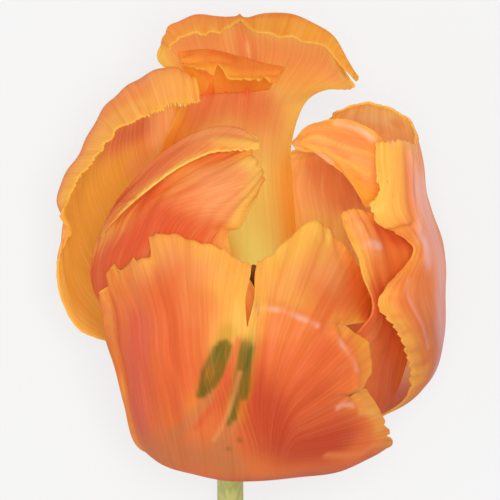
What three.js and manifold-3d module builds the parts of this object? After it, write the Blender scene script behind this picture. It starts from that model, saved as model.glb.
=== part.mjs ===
// A cut parrot tulip lying on its side: six petals round a pistil and six stamens, on a bare stem.
// Millimetres, +Z up. The petals join the stem at the flower's foot, and the flower's axis rises
// from there towards +Y. Knots and paths are measured from the foot.

import * as THREE from 'three';
import Module from 'manifold-3d';

const wasm = await Module();
wasm.setup();

// ---------- Driving dimensions ----------

const LEAN = THREE.MathUtils.degToRad(35);  // between the flower's axis and the floor
const FOOT = new THREE.Vector3(-4.7, 30.6, 17.6);  // the foot, with the part centred over its origin
const FLOOR = -FOOT.z;  // the surface that the flower lies on
const GAP = 0.4;  // between neighbouring pieces

const PETAL_THICKNESS = 0.6;
const OUTER_CLAW = { radius: 5.6, height: 0 };  // where the three outer petals start
const INNER_CLAW = { radius: 4.6, height: 1.2 };  // where the three inner petals start

const STEM_RADIUS = 2.9;
const STEM_END = -147;  // along Y
const STEM_SLANT = 0.5;  // slope of the cut
const RECEPTACLE_TOP = 2.5;
const RECEPTACLE_RADIUS = 3.2;

const PISTIL_HEIGHT = 30;
const PISTIL_RADIUS = 3;
const STIGMA_LOBES = 3;

const STAMEN_COUNT = 6;
const STAMEN_HEIGHT = 37;
const STAMEN_SPREAD = 7.5;  // of the anthers' middles from the axis
const ANTHER_LENGTH = 12;
const ANTHER_RADIUS = 1.5;
const STAMEN_SEED = 5;

const TOOTH_SEED = 17;
const CUT_SHOULDER = 0.6; // where a cut's sides turn, as a share of its half width
const CLOSEST = 0.15; // the least room between two places of cuts, as a share of an even step
const CLEAR = 0.4; // the least room between an even place and a cut's, as such a share

// ---------- Small tools ----------

// A point given by its turn round the axis from the upper side, its distance from the axis
// and its height above the foot along the axis
function cup(degrees, radius, height) {
  const turn = THREE.MathUtils.degToRad(degrees);
  const across = radius * Math.sin(turn);
  const under = -radius * Math.cos(turn);
  return [
    across,
    height * Math.cos(LEAN) + under * Math.sin(LEAN),
    height * Math.sin(LEAN) - under * Math.cos(LEAN),
  ];
}

// A row of knots on a circle round the axis
function ring(from, to, count, radius, height) {
  return Array.from({ length: count }, (_, i) => {
    return cup(THREE.MathUtils.lerp(from, to, i / (count - 1)), radius, height);
  });
}

// A claw: the narrow foot of a petal on the receptacle
function claw(from, to, count, { radius, height }) {
  return ring(from, to, count, radius, height);
}

function vector(point) {
  return new THREE.Vector3(...point);
}

// The smooth curve through a row of knots
function through(points) {
  return new THREE.CatmullRomCurve3(points, false, 'catmullrom', 0.5);
}

// Numbers from 0 to 1 that are the same in every build
function seeded(seed) {
  let state = seed;
  return () => {
    state = (state * 16807) % 2147483647;
    return state / 2147483647;
  };
}

// A point on a surface through rows of knots, u across and v from the claw to the rim
function surfacePoint(rows, u, v) {
  return through(rows.map((row) => row.getPoint(u))).getPoint(v);
}

function surfaceNormal(rows, u, v) {
  const step = 0.004;
  const u0 = Math.max(u - step, 0);
  const u1 = Math.min(u + step, 1);
  const v0 = Math.max(v - step, 0);
  const v1 = Math.min(v + step, 1);
  const across = surfacePoint(rows, u1, v).sub(surfacePoint(rows, u0, v));
  const up = surfacePoint(rows, u, v1).sub(surfacePoint(rows, u, v0));
  return across.cross(up).normalize();
}

// ---------- Solids ----------

// A closed solid from points and triangles, with its faces outward
function solid(points, triangles) {
  const volume = triangles.reduce((sum, [a, b, c]) => {
    return sum + points[a].dot(points[b].clone().cross(points[c]));
  }, 0);
  const outward = volume > 0 ? triangles : triangles.map(([a, b, c]) => [a, c, b]);
  return new wasm.Manifold(new wasm.Mesh({
    numProp: 3,
    vertProperties: new Float32Array(points.flatMap((point) => point.toArray())),
    triVerts: new Uint32Array(outward.flat()),
  }));
}

// A solid between rings of the same number of points, closed at both ends by a fan
function loft(rings) {
  const count = rings[0].length;
  const points = rings.flat();
  const triangles = [];
  for (let r = 0; r < rings.length - 1; r += 1) {
    for (let i = 0; i < count; i += 1) {
      const a = r * count + i;
      const b = r * count + ((i + 1) % count);
      triangles.push([a, b, b + count], [a, b + count, a + count]);
    }
  }
  [0, rings.length - 1].forEach((end, side) => {
    const middle = points.length;
    const centre = rings[end].reduce((sum, point) => sum.add(point), new THREE.Vector3());
    points.push(centre.divideScalar(count));
    for (let i = 0; i < count; i += 1) {
      const a = end * count + i;
      const b = end * count + ((i + 1) % count);
      triangles.push(side === 0 ? [middle, b, a] : [middle, a, b]);
    }
  });
  return solid(points, triangles);
}

// How much of a cut is felt at a place on the way from its foot (0) to the margin (1)
function towardsMargin(place) {
  return THREE.MathUtils.smoothstep(place, 0.45, 1);
}

// How far a cut reaches in at a place along its side. A round of 1 gives a V, more gives a U or a
// step, and less gives a slit between rounded lobes.
function cutDepth(cuts, side, place) {
  return cuts.filter((cut) => cut.side === side).reduce((depth, cut) => {
    const width = place < cut.at ? cut.before : cut.after;
    const near = Math.min(Math.abs(place - cut.at) / width, 1);
    return Math.max(depth, cut.depth * (1 - near ** cut.round));
  }, 0);
}

// Even places from 0 to 1, and the foot, both shoulders and both ends of each cut on one side
function places(count, cuts, sides) {
  const even = Array.from({ length: count + 1 }, (_, i) => i / count);
  const exact = cuts.filter((cut) => sides.includes(cut.side)).flatMap((cut) => [
    cut.at - cut.before,
    cut.at - CUT_SHOULDER * cut.before,
    cut.at,
    cut.at + CUT_SHOULDER * cut.after,
    cut.at + cut.after,
  ]).sort((a, b) => a - b)
    .filter((place, i, all) => i === 0 || place - all[i - 1] > CLOSEST / count);
  const kept = even.filter((place) => {
    return place === 0 || place === 1
      || exact.every((other) => Math.abs(other - place) > CLEAR / count);
  });
  return [...kept, ...exact].sort((a, b) => a - b);
}

// A petal: a closed sheet of even thickness, alike on both faces. Its margins are toothed, and
// cuts run in from the rim or from a side margin. It lies flat where it meets the floor.
function petal({ knots, across, up, cuts = [], teeth = 0 }) {
  const rows = knots.map((row) => through(row.map(vector)));
  const random = seeded(TOOTH_SEED);
  const columns = places(across, cuts, ['rim']);
  const ribs = places(up, cuts, ['left', 'right']);
  const rim = columns.map((s) => cutDepth(cuts, 'rim', s) + teeth * random());
  const left = ribs.map((t) => cutDepth(cuts, 'left', t) + teeth * t * random());
  const right = ribs.map((t) => cutDepth(cuts, 'right', t) + teeth * t * random());

  const faces = [[], []];
  ribs.forEach((t, j) => columns.forEach((s, i) => {
    const u = s + left[j] * towardsMargin(1 - s) - right[j] * towardsMargin(s);
    const v = t - rim[i] * towardsMargin(t);
    const middle = surfacePoint(rows, u, v);
    const half = surfaceNormal(rows, u, v).multiplyScalar(PETAL_THICKNESS / 2);
    const front = middle.clone().add(half);
    const reverse = middle.clone().sub(half);
    const upper = half.z > 0 ? front : reverse;
    const lower = half.z > 0 ? reverse : front;
    upper.z = Math.max(upper.z, FLOOR + PETAL_THICKNESS);
    lower.z = Math.max(lower.z, FLOOR);
    faces[0].push(front);
    faces[1].push(reverse);
  }));

  const width = columns.length;
  const back = faces[0].length;
  const triangles = [];
  for (let j = 0; j < ribs.length - 1; j += 1) {
    for (let i = 0; i < width - 1; i += 1) {
      const a = j * width + i;
      const corners = [[a, a + 1, a + width + 1], [a, a + width + 1, a + width]];
      corners.forEach(([p, q, r]) => triangles.push([p, q, r], [p + back, r + back, q + back]));
    }
  }
  const edge = [];
  for (let i = 0; i < width - 1; i += 1) edge.push(i);
  for (let j = 0; j < ribs.length - 1; j += 1) edge.push(j * width + width - 1);
  for (let i = width - 1; i > 0; i -= 1) edge.push((ribs.length - 1) * width + i);
  for (let j = ribs.length - 1; j > 0; j -= 1) edge.push(j * width);
  edge.forEach((a, k) => {
    const b = edge[(k + 1) % edge.length];
    triangles.push([b, a, a + back], [b, a + back, b + back]);
  });
  return solid(faces.flat(), triangles);
}

// A row of knots on the face of another petal, where a flap grows out of it
function rootedOn(knots, spots) {
  const rows = knots.map((row) => through(row.map(vector)));
  return spots.map(([u, v]) => surfacePoint(rows, u, v).toArray());
}

// ---------- The petals' knots ----------
// Each list runs from the claw to the rim, and each row from the petal's left margin to its right
// margin as the flower is seen from above, or from its lower margin to its upper one.

// Outer front petal, which bulges over the whole front and ends in two lobes
const FRONT = [
  claw(-50, 50, 9, OUTER_CLAW),
  ring(-48, 52, 9, 17, 0),
  [[-20, -5.25, 13], [-14.5, -9, 20], [-7.5, -10.75, 25], [-0.5, -12, 27], [7, -12, 28],
   [15.25, -11.25, 27], [23, -10.5, 24], [28.75, -8.25, 20], [33, -6.25, 15]],
  [[-22.5, 4, 20], [-17, -0.5, 30], [-9, -3, 37], [-1, -4, 41], [7, -4.5, 42], [15, -3.5, 41],
   [23, -2.5, 37], [29.5, -1.5, 31], [34.25, -1.75, 24]],
  [[-24, 12, 24], [-18.5, 8.5, 35], [-10.5, 6, 43], [-2, 5, 47], [4, 5, 48], [14.5, 5.5, 47],
   [21, 6.5, 44], [26.5, 7, 39], [29.5, 8.25, 34]],
  [[-26, 18.5, 27], [-19.5, 16, 38], [-12, 14, 45], [-4, 13, 49.5], [3.5, 13.25, 51],
   [13, 13.5, 50], [20, 13.5, 47], [25, 13, 43], [30, 13.25, 38]],
  [[-26.5, 23.5, 28], [-20, 23, 38.5], [-12.5, 22.5, 46], [-4.5, 22.5, 50.5], [4, 22.75, 52],
   [12.5, 22, 50.5], [19, 21, 48], [23.5, 20, 45], [29.25, 20.5, 39]],
  [[-27, 25.5, 28], [-22, 28.5, 35.5], [-14.5, 30.5, 44], [-4.5, 30.5, 49], [4.75, 29, 50],
   [12.5, 30, 48.5], [19, 30.5, 45], [24.5, 29, 39], [30.5, 25.25, 30]],
  [[-27, 27.75, 28], [-24, 34, 32.5], [-17.25, 39.75, 39.5], [-3.5, 39.5, 46.5],
   [5.5, 34.5, 47.5], [11.5, 38.5, 46], [17.5, 43, 43], [23, 39, 39], [29.25, 30.75, 33.5]],
];
// The notch, two steps on the left of the rim, and the cuts that set off the two right lobes
const FRONT_CUTS = [
  { side: 'rim', at: 0.5, before: 0.02, after: 0.016, depth: 0.275, round: 4 },
  { side: 'rim', at: 0.163, before: 0.042, after: 0.042, depth: 0.045, round: 8 },
  { side: 'rim', at: 0.222, before: 0.03, after: 0.03, depth: 0.055, round: 8 },
  { side: 'right', at: 0.765, before: 0.07, after: 0.022, depth: 0.12, round: 0.7 },
  { side: 'right', at: 0.5, before: 0.012, after: 0.06, depth: 0.11, round: 0.8 },
];

// Outer right petal: a deep shell whose upper front corner folds over into a flap
const RIGHT = [
  claw(70, 170, 6, OUTER_CLAW),
  ring(84, 165, 6, 17, 0),
  [[26.5, -2, 5], [34, 2.5, -1], [33.5, 9, -9], [25.5, 15.5, -15.5], [17, 19, -17.5],
   [9, 20.5, -15]],
  [[37.25, 3.75, 14], [40.75, 5.5, 10], [43.75, 10.75, 1], [38, 20, -9.5], [27, 26, -16.5],
   [13, 29, -15]],
  [[38.5, 10.75, 24], [43.75, 12.75, 18], [46.5, 19, 8], [43.5, 28, -2], [33.5, 35, -9],
   [12, 36.5, -14.5]],
  [[35.25, 19.25, 35], [41.5, 20, 28.5], [46.25, 26.75, 15], [45, 36.25, 5], [35.5, 43, -4],
   [11, 43, -11]],
  [[31, 26.25, 40.5], [38.25, 28, 37], [45.75, 32.5, 19], [44.5, 41.5, 9], [34, 50, 0],
   [10, 50, -7]],
  [[38.75, 36.75, 33.5], [40.75, 37.25, 31.5], [44, 38.75, 22], [42.75, 46.25, 12],
   [33, 54.5, 3], [11, 55, -3]],
  [[29.25, 43.75, 41], [37, 45.5, 38], [41.25, 46, 25], [41.25, 51.75, 14], [30.5, 59, 6],
   [12.5, 57.5, -2]],
  [[30.75, 51, 43], [36.5, 52, 38.5], [40.25, 53.25, 26], [40.5, 58, 17], [30, 63.5, 11],
   [18, 62, 8]],
  [[30.5, 59.5, 41], [36, 60, 38], [39.5, 59.25, 30], [38, 65, 25], [30, 68.25, 24],
   [22.75, 66.5, 20]],
];

// The tongue that grows from inside the right petal's fold and lies over the cup
const TONGUE = [
  rootedOn(RIGHT, [[0.3, 0.94], [0.3, 0.89], [0.31, 0.84]]),
  [[34.5, 57.5, 36.5], [34, 53, 36], [34, 47.5, 33]],
  [[30.5, 61.5, 38], [30, 55.5, 38], [29, 45.5, 34.5]],
  [[25.5, 64, 38], [24.5, 57.5, 39.5], [26, 50.5, 36]],
  [[20, 64, 38], [18.5, 59.5, 40], [22.5, 54, 38]],
  [[15, 61.5, 37], [15.5, 59, 38.5], [18, 57, 38.5]],
  [[13.5, 59, 36], [13.5, 58.5, 37], [15, 57.5, 37.5]],
];

// Outer left petal: a wide spoon, open towards the front, with its rim rolled inward
const LEFT = [
  claw(-70, -170, 7, OUTER_CLAW),
  ring(-92, -166, 7, 17, 0),
  [[-24.5, 12.5, -7.5], [-23.5, 14.5, -10.5], [-21, 17, -14], [-18, 18.5, -16], [-14, 20, -17],
   [-9.5, 20.5, -16.5], [-5.5, 21, -15]],
  [[-25.75, 16.25, 5], [-28.5, 21.5, -3], [-24, 28.5, -11.5], [-17, 30.5, -16], [-9.5, 32, -17],
   [-3, 34.5, -15.5], [1.5, 35.5, -14.5]],
  [[-32.5, 19.25, 9], [-33.5, 29, 3], [-30, 39, -2], [-23.5, 43.5, -6], [-16.5, 46.5, -7],
   [-11, 49, -8], [-5.5, 50.5, -8]],
  [[-36.25, 25.75, 12], [-35.5, 37, 9], [-32.5, 48, 6], [-27.5, 54.5, 4], [-21, 59, 4],
   [-14, 61.5, 4], [-7.5, 62.5, 3]],
  [[-37.25, 33.5, 15], [-36, 45, 14], [-31.75, 54.5, 14], [-26, 62.75, 15], [-20, 68.25, 16],
   [-14.5, 71.5, 15], [-11, 68.5, 10]],
  [[-34.75, 39.5, 16], [-36.75, 49, 18], [-31.75, 58, 20], [-26.75, 67, 21], [-20.25, 72.5, 23],
   [-12.75, 75.5, 25], [-7.5, 73.5, 25]],
  [[-36.5, 44.25, 19], [-33, 50, 24], [-27, 58, 27], [-23, 62.5, 29], [-16.5, 65, 31],
   [-11, 66.5, 32], [-6, 68, 29]],
];

// Inner left petal: curls over the cup to a tip, with its outer margin rolled back as a band
const INNER_LEFT = [
  claw(-10, -110, 6, INNER_CLAW),
  ring(-12, -108, 6, 14, 2.5),
  ring(-18, -92, 6, 22, 7),
  [[7.5, 16, 38], [-5, 15.5, 39], [-15.5, 15.5, 31], [-21.5, 16.5, 21], [-24, 19, 12],
   [-21.5, 22, 8]],
  [[7, 26, 39.5], [-7, 28.5, 42], [-17.5, 28, 36], [-24.5, 27, 25], [-29, 28, 17],
   [-27, 31, 12]],
  [[1, 35.5, 40], [-8.25, 36.25, 40.5], [-16.5, 36, 36], [-24.5, 35, 28.5], [-29, 35, 21],
   [-28.5, 37.5, 20]],
  [[0, 40.5, 40], [-5.5, 41.25, 42], [-13.25, 42.25, 40], [-20, 43, 35], [-25.5, 44, 28],
   [-22.5, 44.5, 35.5]],
  [[2.5, 41.5, 41], [-3.5, 44.5, 44.5], [-10, 47, 44], [-15.5, 49.5, 38], [-20.5, 50.5, 33],
   [-16.5, 49.5, 42]],
  [[4.5, 45.5, 41], [0, 47, 45], [-5, 50, 45], [-9.5, 54, 40], [-14, 57, 36], [-10, 54, 43]],
  [[6, 48, 40], [3.5, 49.5, 44], [0, 52.5, 44], [-2.5, 56.5, 39], [-5, 62, 36], [-3.5, 57, 43]],
  [[6.5, 50, 38], [6.5, 52.5, 41], [4.5, 55.5, 41.5], [3, 58, 38], [1.5, 62.5, 36],
   [2.5, 57.5, 42]],
  [[7, 50.5, 37.5], [7, 53, 39], [5.5, 55.5, 39.5], [5, 58, 38], [6, 60, 37], [6.5, 58, 40]],
];

// Inner right petal: narrow, and tucked in between the front petal and the right petal
const INNER_RIGHT = [
  claw(10, 110, 5, INNER_CLAW),
  ring(12, 108, 5, 14, 2.5),
  ring(20, 98, 5, 23, 7),
  [[15, 1, 27], [24, 1, 23], [32, 1.5, 16], [34, 4.5, 9.5], [33.5, 9.5, 5]],
  [[19.5, 13, 36], [27, 12.5, 33], [34.5, 12, 25], [39, 16, 15], [36, 23.5, 5]],
  [[29.75, 22.75, 39.5], [32.25, 21.5, 33.5], [36, 22, 25], [40, 25.5, 16], [39, 33, 9]],
  [[27.25, 34.25, 39.5], [30, 33.5, 37], [34.5, 34, 31.5], [39, 36, 25], [40, 40, 15]],
  [[24, 41.5, 39], [28, 40.5, 39.5], [32.5, 39.5, 33.5], [36.5, 40, 27], [38.5, 41.5, 17]],
  [[23.5, 44.5, 38], [26, 45.5, 38.5], [29.5, 44.5, 36.5], [33, 43.5, 32], [36, 44, 23]],
];

// Inner back petal: a tall column that widens into a hood
const BACK = [
  claw(230, 130, 7, INNER_CLAW),
  ring(230, 130, 7, 14, 2.5),
  ring(226, 134, 7, 22, 8),
  [[-9, 37.75, -9], [-4.5, 36.25, -10.5], [-0.25, 35.25, -11.5], [4, 35, -12],
   [8, 35.25, -11.5], [11.5, 36.25, -10.5], [14.75, 37.75, -9]],
  [[-14.25, 52.5, 4], [-8.75, 50.5, 0], [-2.75, 49.25, -2.5], [3.5, 48.75, -4],
   [7, 49.25, -3.5], [10.25, 50.5, -2.5], [13.75, 51.75, -1]],
  [[-15, 58.5, 10], [-9.5, 59.25, 6.5], [-3.25, 59.5, 4], [3, 59, 2], [6.5, 59.25, 1.5],
   [10.25, 59.25, 1.5], [13.5, 60.25, 3.5]],
  [[-11.25, 65.25, 13], [-6.5, 66.75, 11.5], [-1.75, 67.5, 9.5], [3.25, 67.75, 8],
   [7.75, 67.75, 7.5], [11.75, 68, 7.5], [16.25, 68.5, 8]],
  [[-8, 71.75, 14.5], [-4.75, 73.5, 14], [-0.75, 74, 13], [3.75, 74, 12], [9.25, 73.75, 12],
   [14.75, 72, 13], [20.5, 71.25, 14]],
  [[-15.25, 77.25, 22], [-10.5, 79.5, 21], [-4.5, 80.25, 19], [3.25, 80.25, 17],
   [11.5, 80, 17.5], [19.75, 77.5, 18.5], [26.25, 71.25, 19]],
  [[-14.25, 80.25, 26], [-12.5, 84.25, 27], [-5.5, 86.5, 28], [2.25, 85, 24], [10.25, 87, 27],
   [20.5, 83.25, 27.5], [27.75, 73.5, 24]],
  [[-13, 79, 30], [-10.25, 81.75, 33.5], [-5, 82, 35.5], [2.75, 83.25, 31], [8.5, 82, 35],
   [18.75, 80, 32], [26.75, 73.5, 26]],
];

// The slit in the hood's right wing, and the dip where its two rims meet
const BACK_CUTS = [
  { side: 'right', at: 0.85, before: 0.02, after: 0.02, depth: 0.06, round: 2 },
  { side: 'rim', at: 0.5, before: 0.06, after: 0.06, depth: 0.04, round: 0.8 },
];

// The flap that grows from the hood's throat and folds forward under it
const FLAP = [
  rootedOn(BACK, [[0.06, 0.66], [0.27, 0.65], [0.49, 0.65], [0.66, 0.665]]),
  [[-10, 75.5, 17], [-4, 76.5, 16], [3, 75, 15], [10.5, 74.5, 15]],
  [[-11, 78.75, 20], [-4.5, 79.5, 21], [3.25, 77.75, 20], [11.75, 75.5, 18.5]],
  [[-10.5, 77.5, 22], [-4.5, 77.5, 24], [3.25, 75.5, 23.5], [11, 74.5, 20.5]],
  [[-9.5, 76, 23], [-3.5, 74, 26], [3.5, 72.5, 26], [10, 72.5, 22]],
];

// ---------- Pieces ----------

// A round outline square to a path, with the stem's cut end slanted
function hoop(centre, along, count, radiusAt) {
  const side = new THREE.Vector3(0, along.z, -along.y).normalize();
  const other = along.clone().cross(side).normalize();
  return Array.from({ length: count }, (_, i) => {
    const turn = (2 * Math.PI * (i + 0.5)) / count;
    const radius = radiusAt(turn);
    return centre.clone().addScaledVector(side, radius * Math.sin(turn))
      .addScaledVector(other, radius * Math.cos(turn));
  });
}

// A turned solid on the flower's axis from [height, radius] pairs; radii may vary round the turn
function turned(profile, count) {
  const axis = vector(cup(0, 0, 1));
  return loft(profile.map(([height, radius]) => {
    const radiusAt = typeof radius === 'function' ? radius : () => radius;
    return hoop(axis.clone().multiplyScalar(height), axis, count, radiusAt);
  }));
}

// The stem bows gently back to the floor and meets it only under its cut end
function stem() {
  const sides = 16;
  const rest = FLOOR + STEM_RADIUS;
  const path = through([
    [1, STEM_END, rest - 0.15],
    [-0.5, STEM_END * 0.7, rest + 0.9],
    [-1, STEM_END * 0.45, rest + 1.7],
    [-0.5, STEM_END * 0.28, rest + 2.3],
    [0, STEM_END * 0.17, rest + 4],
    [0, STEM_END * 0.09, rest + 7.2],
    cup(0, 0, -8),
  ].map(vector));
  const steps = 16;
  const rings = Array.from({ length: steps + 1 }, (_, i) => {
    const t = i / steps;
    return hoop(path.getPoint(t), path.getTangent(t), sides, () => STEM_RADIUS);
  });
  const middle = path.getPoint(0);
  rings[0].forEach((point) => {
    point.y += (point.z - middle.z) * STEM_SLANT;
  });
  const axis = vector(cup(0, 0, 1));
  const dish = OUTER_CLAW.height - PETAL_THICKNESS / 2 - GAP;
  const collar = OUTER_CLAW.radius - GAP;
  const neck = INNER_CLAW.radius - GAP;
  const receptacle = [
    [-5, STEM_RADIUS * 1.15],
    [-2.5, STEM_RADIUS * 1.5],
    [dish - 0.5, OUTER_CLAW.radius + 0.8],
    [dish, OUTER_CLAW.radius + 0.6],
    [dish + 0.01, collar],
    [0.5, collar],
    [INNER_CLAW.height - GAP, neck],
    [INNER_CLAW.height + GAP, neck],
    [RECEPTACLE_TOP, RECEPTACLE_RADIUS],
  ].map(([height, radius]) => hoop(axis.clone().multiplyScalar(height), axis, sides, () => radius));
  const all = [...rings, ...receptacle];
  all.flat().forEach((point) => {
    point.z = Math.max(point.z, FLOOR);
  });
  return loft(all);
}

// A swelling ovary under a stigma of three lobes
function pistil() {
  const lobes = (turn) => 1 + 0.3 * Math.cos(STIGMA_LOBES * turn);
  const foot = RECEPTACLE_TOP + GAP;
  return turned([
    [foot, PISTIL_RADIUS * 0.65],
    [foot + PISTIL_HEIGHT * 0.15, PISTIL_RADIUS * 0.85],
    [foot + PISTIL_HEIGHT * 0.45, PISTIL_RADIUS],
    [foot + PISTIL_HEIGHT * 0.75, PISTIL_RADIUS * 0.85],
    [foot + PISTIL_HEIGHT * 0.87, (turn) => PISTIL_RADIUS * 0.8 * lobes(turn)],
    [foot + PISTIL_HEIGHT * 0.93, (turn) => PISTIL_RADIUS * 1.15 * lobes(turn)],
    [foot + PISTIL_HEIGHT, (turn) => PISTIL_RADIUS * 0.7 * lobes(turn)],
  ], 18);
}

// Six stamens on one basal ring; each leans out a little differently
function stamens() {
  const random = seeded(STAMEN_SEED);
  const foot = RECEPTACLE_TOP + GAP;
  const inner = PISTIL_RADIUS * 0.7 + GAP;
  const outer = inner + 1.2;
  const basal = turned([[foot, outer], [foot + 1, outer]], 18)
    .subtract(turned([[foot - 1, inner], [foot + 2, inner]], 18));
  const each = Array.from({ length: STAMEN_COUNT }, (_, i) => {
    const turn = 150 - (i * 360) / STAMEN_COUNT + 14 * (random() - 0.5);
    const top = STAMEN_HEIGHT + 3 * (random() - 1);
    const spread = STAMEN_SPREAD + 2 * (random() - 0.5);
    const path = through([
      cup(turn, (inner + outer) / 2, foot + 0.5),
      cup(turn, spread * 0.62, top * 0.4),
      cup(turn, spread * 0.92, top - ANTHER_LENGTH),
      cup(turn, spread * 1.08, top),
    ].map(vector));
    const anther = 1 - ANTHER_LENGTH / top;
    const outline = [
      [0, 0.7], [0.3, 0.6], [0.55, 0.5], [anther, 0.45],
      [anther + 0.02, ANTHER_RADIUS * 0.8], [anther + 0.1, ANTHER_RADIUS],
      [0.9, ANTHER_RADIUS * 0.9], [0.98, ANTHER_RADIUS * 0.6], [1, 0.4],
    ];
    return loft(outline.map(([t, radius]) => hoop(path.getPoint(t), path.getTangent(t), 8, () => radius)));
  });
  return wasm.Manifold.union([basal, ...each]);
}

const back = petal({ knots: BACK, across: 16, up: 24, teeth: 0.02, cuts: BACK_CUTS })
  .add(petal({ knots: FLAP, across: 9, up: 8, teeth: 0.03 }));
const right = petal({ knots: RIGHT, across: 18, up: 20, teeth: 0.015 })
  .add(petal({ knots: TONGUE, across: 8, up: 12, teeth: 0.03 }));

const PIECES = [
  { name: 'stem', colour: 0xb6b66e, roughness: 0.6, shape: stem() },
  { name: 'pistil', colour: 0xc4c878, roughness: 0.6, shape: pistil() },
  { name: 'stamens', colour: 0x3a3226, roughness: 0.9, shape: stamens() },
  {
    name: 'tepal_outer_front',
    colour: 0xe66e3c,
    roughness: 0.55,
    shape: petal({
      knots: FRONT,
      across: 22,
      up: 18,
      teeth: 0.02,
      cuts: FRONT_CUTS,
    }),
  },
  { name: 'tepal_outer_right', colour: 0xf08c5a, roughness: 0.55, shape: right },
  {
    name: 'tepal_outer_left',
    colour: 0xec9a46,
    roughness: 0.55,
    shape: petal({ knots: LEFT, across: 20, up: 18, teeth: 0.015 }),
  },
  {
    name: 'tepal_inner_front_left',
    colour: 0xe8703c,
    roughness: 0.55,
    shape: petal({ knots: INNER_LEFT, across: 16, up: 24, teeth: 0.015 }),
  },
  {
    name: 'tepal_inner_front_right',
    colour: 0xea8046,
    roughness: 0.55,
    shape: petal({ knots: INNER_RIGHT, across: 12, up: 18, teeth: 0.015 }),
  },
  { name: 'tepal_inner_back', colour: 0xee9a44, roughness: 0.55, shape: back },
];

// A mesh of one solid, moved from the foot's frame to the part's
function toMesh({ name, colour, roughness, shape }) {
  const { vertProperties, triVerts } = shape.getMesh();
  const geometry = new THREE.BufferGeometry();
  geometry.setAttribute('position', new THREE.BufferAttribute(vertProperties, 3));
  geometry.setIndex(new THREE.BufferAttribute(triVerts, 1));
  geometry.translate(FOOT.x, FOOT.y, FOOT.z);
  geometry.computeVertexNormals();
  const material = new THREE.MeshStandardMaterial({ color: colour, roughness, metalness: 0 });
  const mesh = new THREE.Mesh(geometry, material);
  mesh.name = name;
  return mesh;
}

const tulip = new THREE.Group();
tulip.name = 'parrot_tulip';
tulip.add(...PIECES.map(toMesh));

export default tulip;
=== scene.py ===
# %% [markdown]
# # A parrot tulip, cut and lying on its side
# One flower of a parrot tulip: three outer petals, three inner petals, six stamens round a pistil,
# and a bare stem. Parrot tulips have ragged, folded petals in mixed colours, so nearly all of the
# work is in the petals: their shape first, then their torn margins, then their colours.

import math
from functools import partial

import bpy
import numpy as np
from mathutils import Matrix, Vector
from mathutils.kdtree import KDTree


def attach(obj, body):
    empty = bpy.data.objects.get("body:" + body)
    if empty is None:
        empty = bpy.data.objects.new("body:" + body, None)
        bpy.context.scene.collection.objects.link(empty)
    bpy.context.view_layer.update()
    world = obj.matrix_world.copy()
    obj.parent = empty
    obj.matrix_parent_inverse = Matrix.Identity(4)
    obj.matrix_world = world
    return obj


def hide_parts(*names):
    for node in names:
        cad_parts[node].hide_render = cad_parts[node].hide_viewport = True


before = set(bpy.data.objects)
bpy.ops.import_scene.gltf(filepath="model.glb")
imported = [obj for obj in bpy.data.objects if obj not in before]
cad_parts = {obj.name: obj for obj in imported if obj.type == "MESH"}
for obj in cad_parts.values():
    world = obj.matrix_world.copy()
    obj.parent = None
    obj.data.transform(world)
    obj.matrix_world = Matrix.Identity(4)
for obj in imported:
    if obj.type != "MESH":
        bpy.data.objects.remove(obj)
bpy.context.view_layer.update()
print("frame:", len(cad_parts), "nodes")

# %% [markdown]
# ## Sizes and places
# The solids were drawn in millimetres from the flower's foot, where the petals join the stem, so
# the petals are drawn the same way here. The flower's axis leans up from the floor, so the same
# two claw circles and the same lean place every petal.

# %% Sizes
MM = 0.001
FOOT = Vector((-4.7, 30.6, 17.6)) * MM
LEAN = math.radians(35)
PETAL_THICKNESS = 0.45  # mm, a little thinner than the solids
OUTER_CLAW = (5.6, 0.0)  # radius and height of the circle where the outer petals start, mm
INNER_CLAW = (4.6, 1.2)
FLOOR_SEAT = -FOOT.z / MM  # mm below the foot
FLOOR_GAP = 0.05
NUDGE = 0.002  # of a whole petal or tube, to feel which way it runs
FLAP_SHIFT = 2  # a flap's numbers across start here, so that they never mix with its petal's


def cup(degrees, radius, height):
    """A point by its turn round the axis, its distance from the axis and its height along it."""
    turn = math.radians(degrees)
    across, under = radius * math.sin(turn), -radius * math.cos(turn)
    return [
        across,
        height * math.cos(LEAN) + under * math.sin(LEAN),
        height * math.sin(LEAN) - under * math.cos(LEAN),
    ]


def ring(start, end, count, radius, height):
    """A row of knots on a circle round the axis."""
    return [cup(turn, radius, height) for turn in np.linspace(start, end, count)]


AXIS = np.array(cup(0, 0, 1))
print("foot at", [round(x, 4) for x in FOOT])

# %% [markdown]
# ## A smooth surface through a few knots
# A petal is too free a form for a primitive and too plain for sculpting by hand. It is drawn as
# rows of knots from its claw to its rim, and a Catmull-Rom curve runs smoothly through each row
# and each column. Moving one knot then moves one soft area of the petal, as a thumb would. A path
# over a petal, for a crease or a stroke of the brush, is a list of places in hundredths: across the
# petal, along it, across, along and so on.

# %% Curves through knots
def curve_weights(count, places):
    """How much each of count knots weighs at each place from 0 to 1."""
    spans = np.clip(places, 0, 1) * (count - 1)
    first = np.minimum(spans.astype(int), count - 2)
    f = spans - first
    four = np.stack([
        -0.5 * f + f**2 - 0.5 * f**3,
        1 - 2.5 * f**2 + 1.5 * f**3,
        0.5 * f + 2 * f**2 - 1.5 * f**3,
        -0.5 * f**2 + 0.5 * f**3,
    ])
    padded = np.zeros((len(f), count + 2))
    for k in range(4):
        padded[np.arange(len(f)), first + k] += four[k]
    weights = padded[:, 1:-1].copy()
    weights[:, 0] += 2 * padded[:, 0]
    weights[:, 1] -= padded[:, 0]
    weights[:, -1] += 2 * padded[:, -1]
    weights[:, -2] -= padded[:, -1]
    return weights


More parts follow.
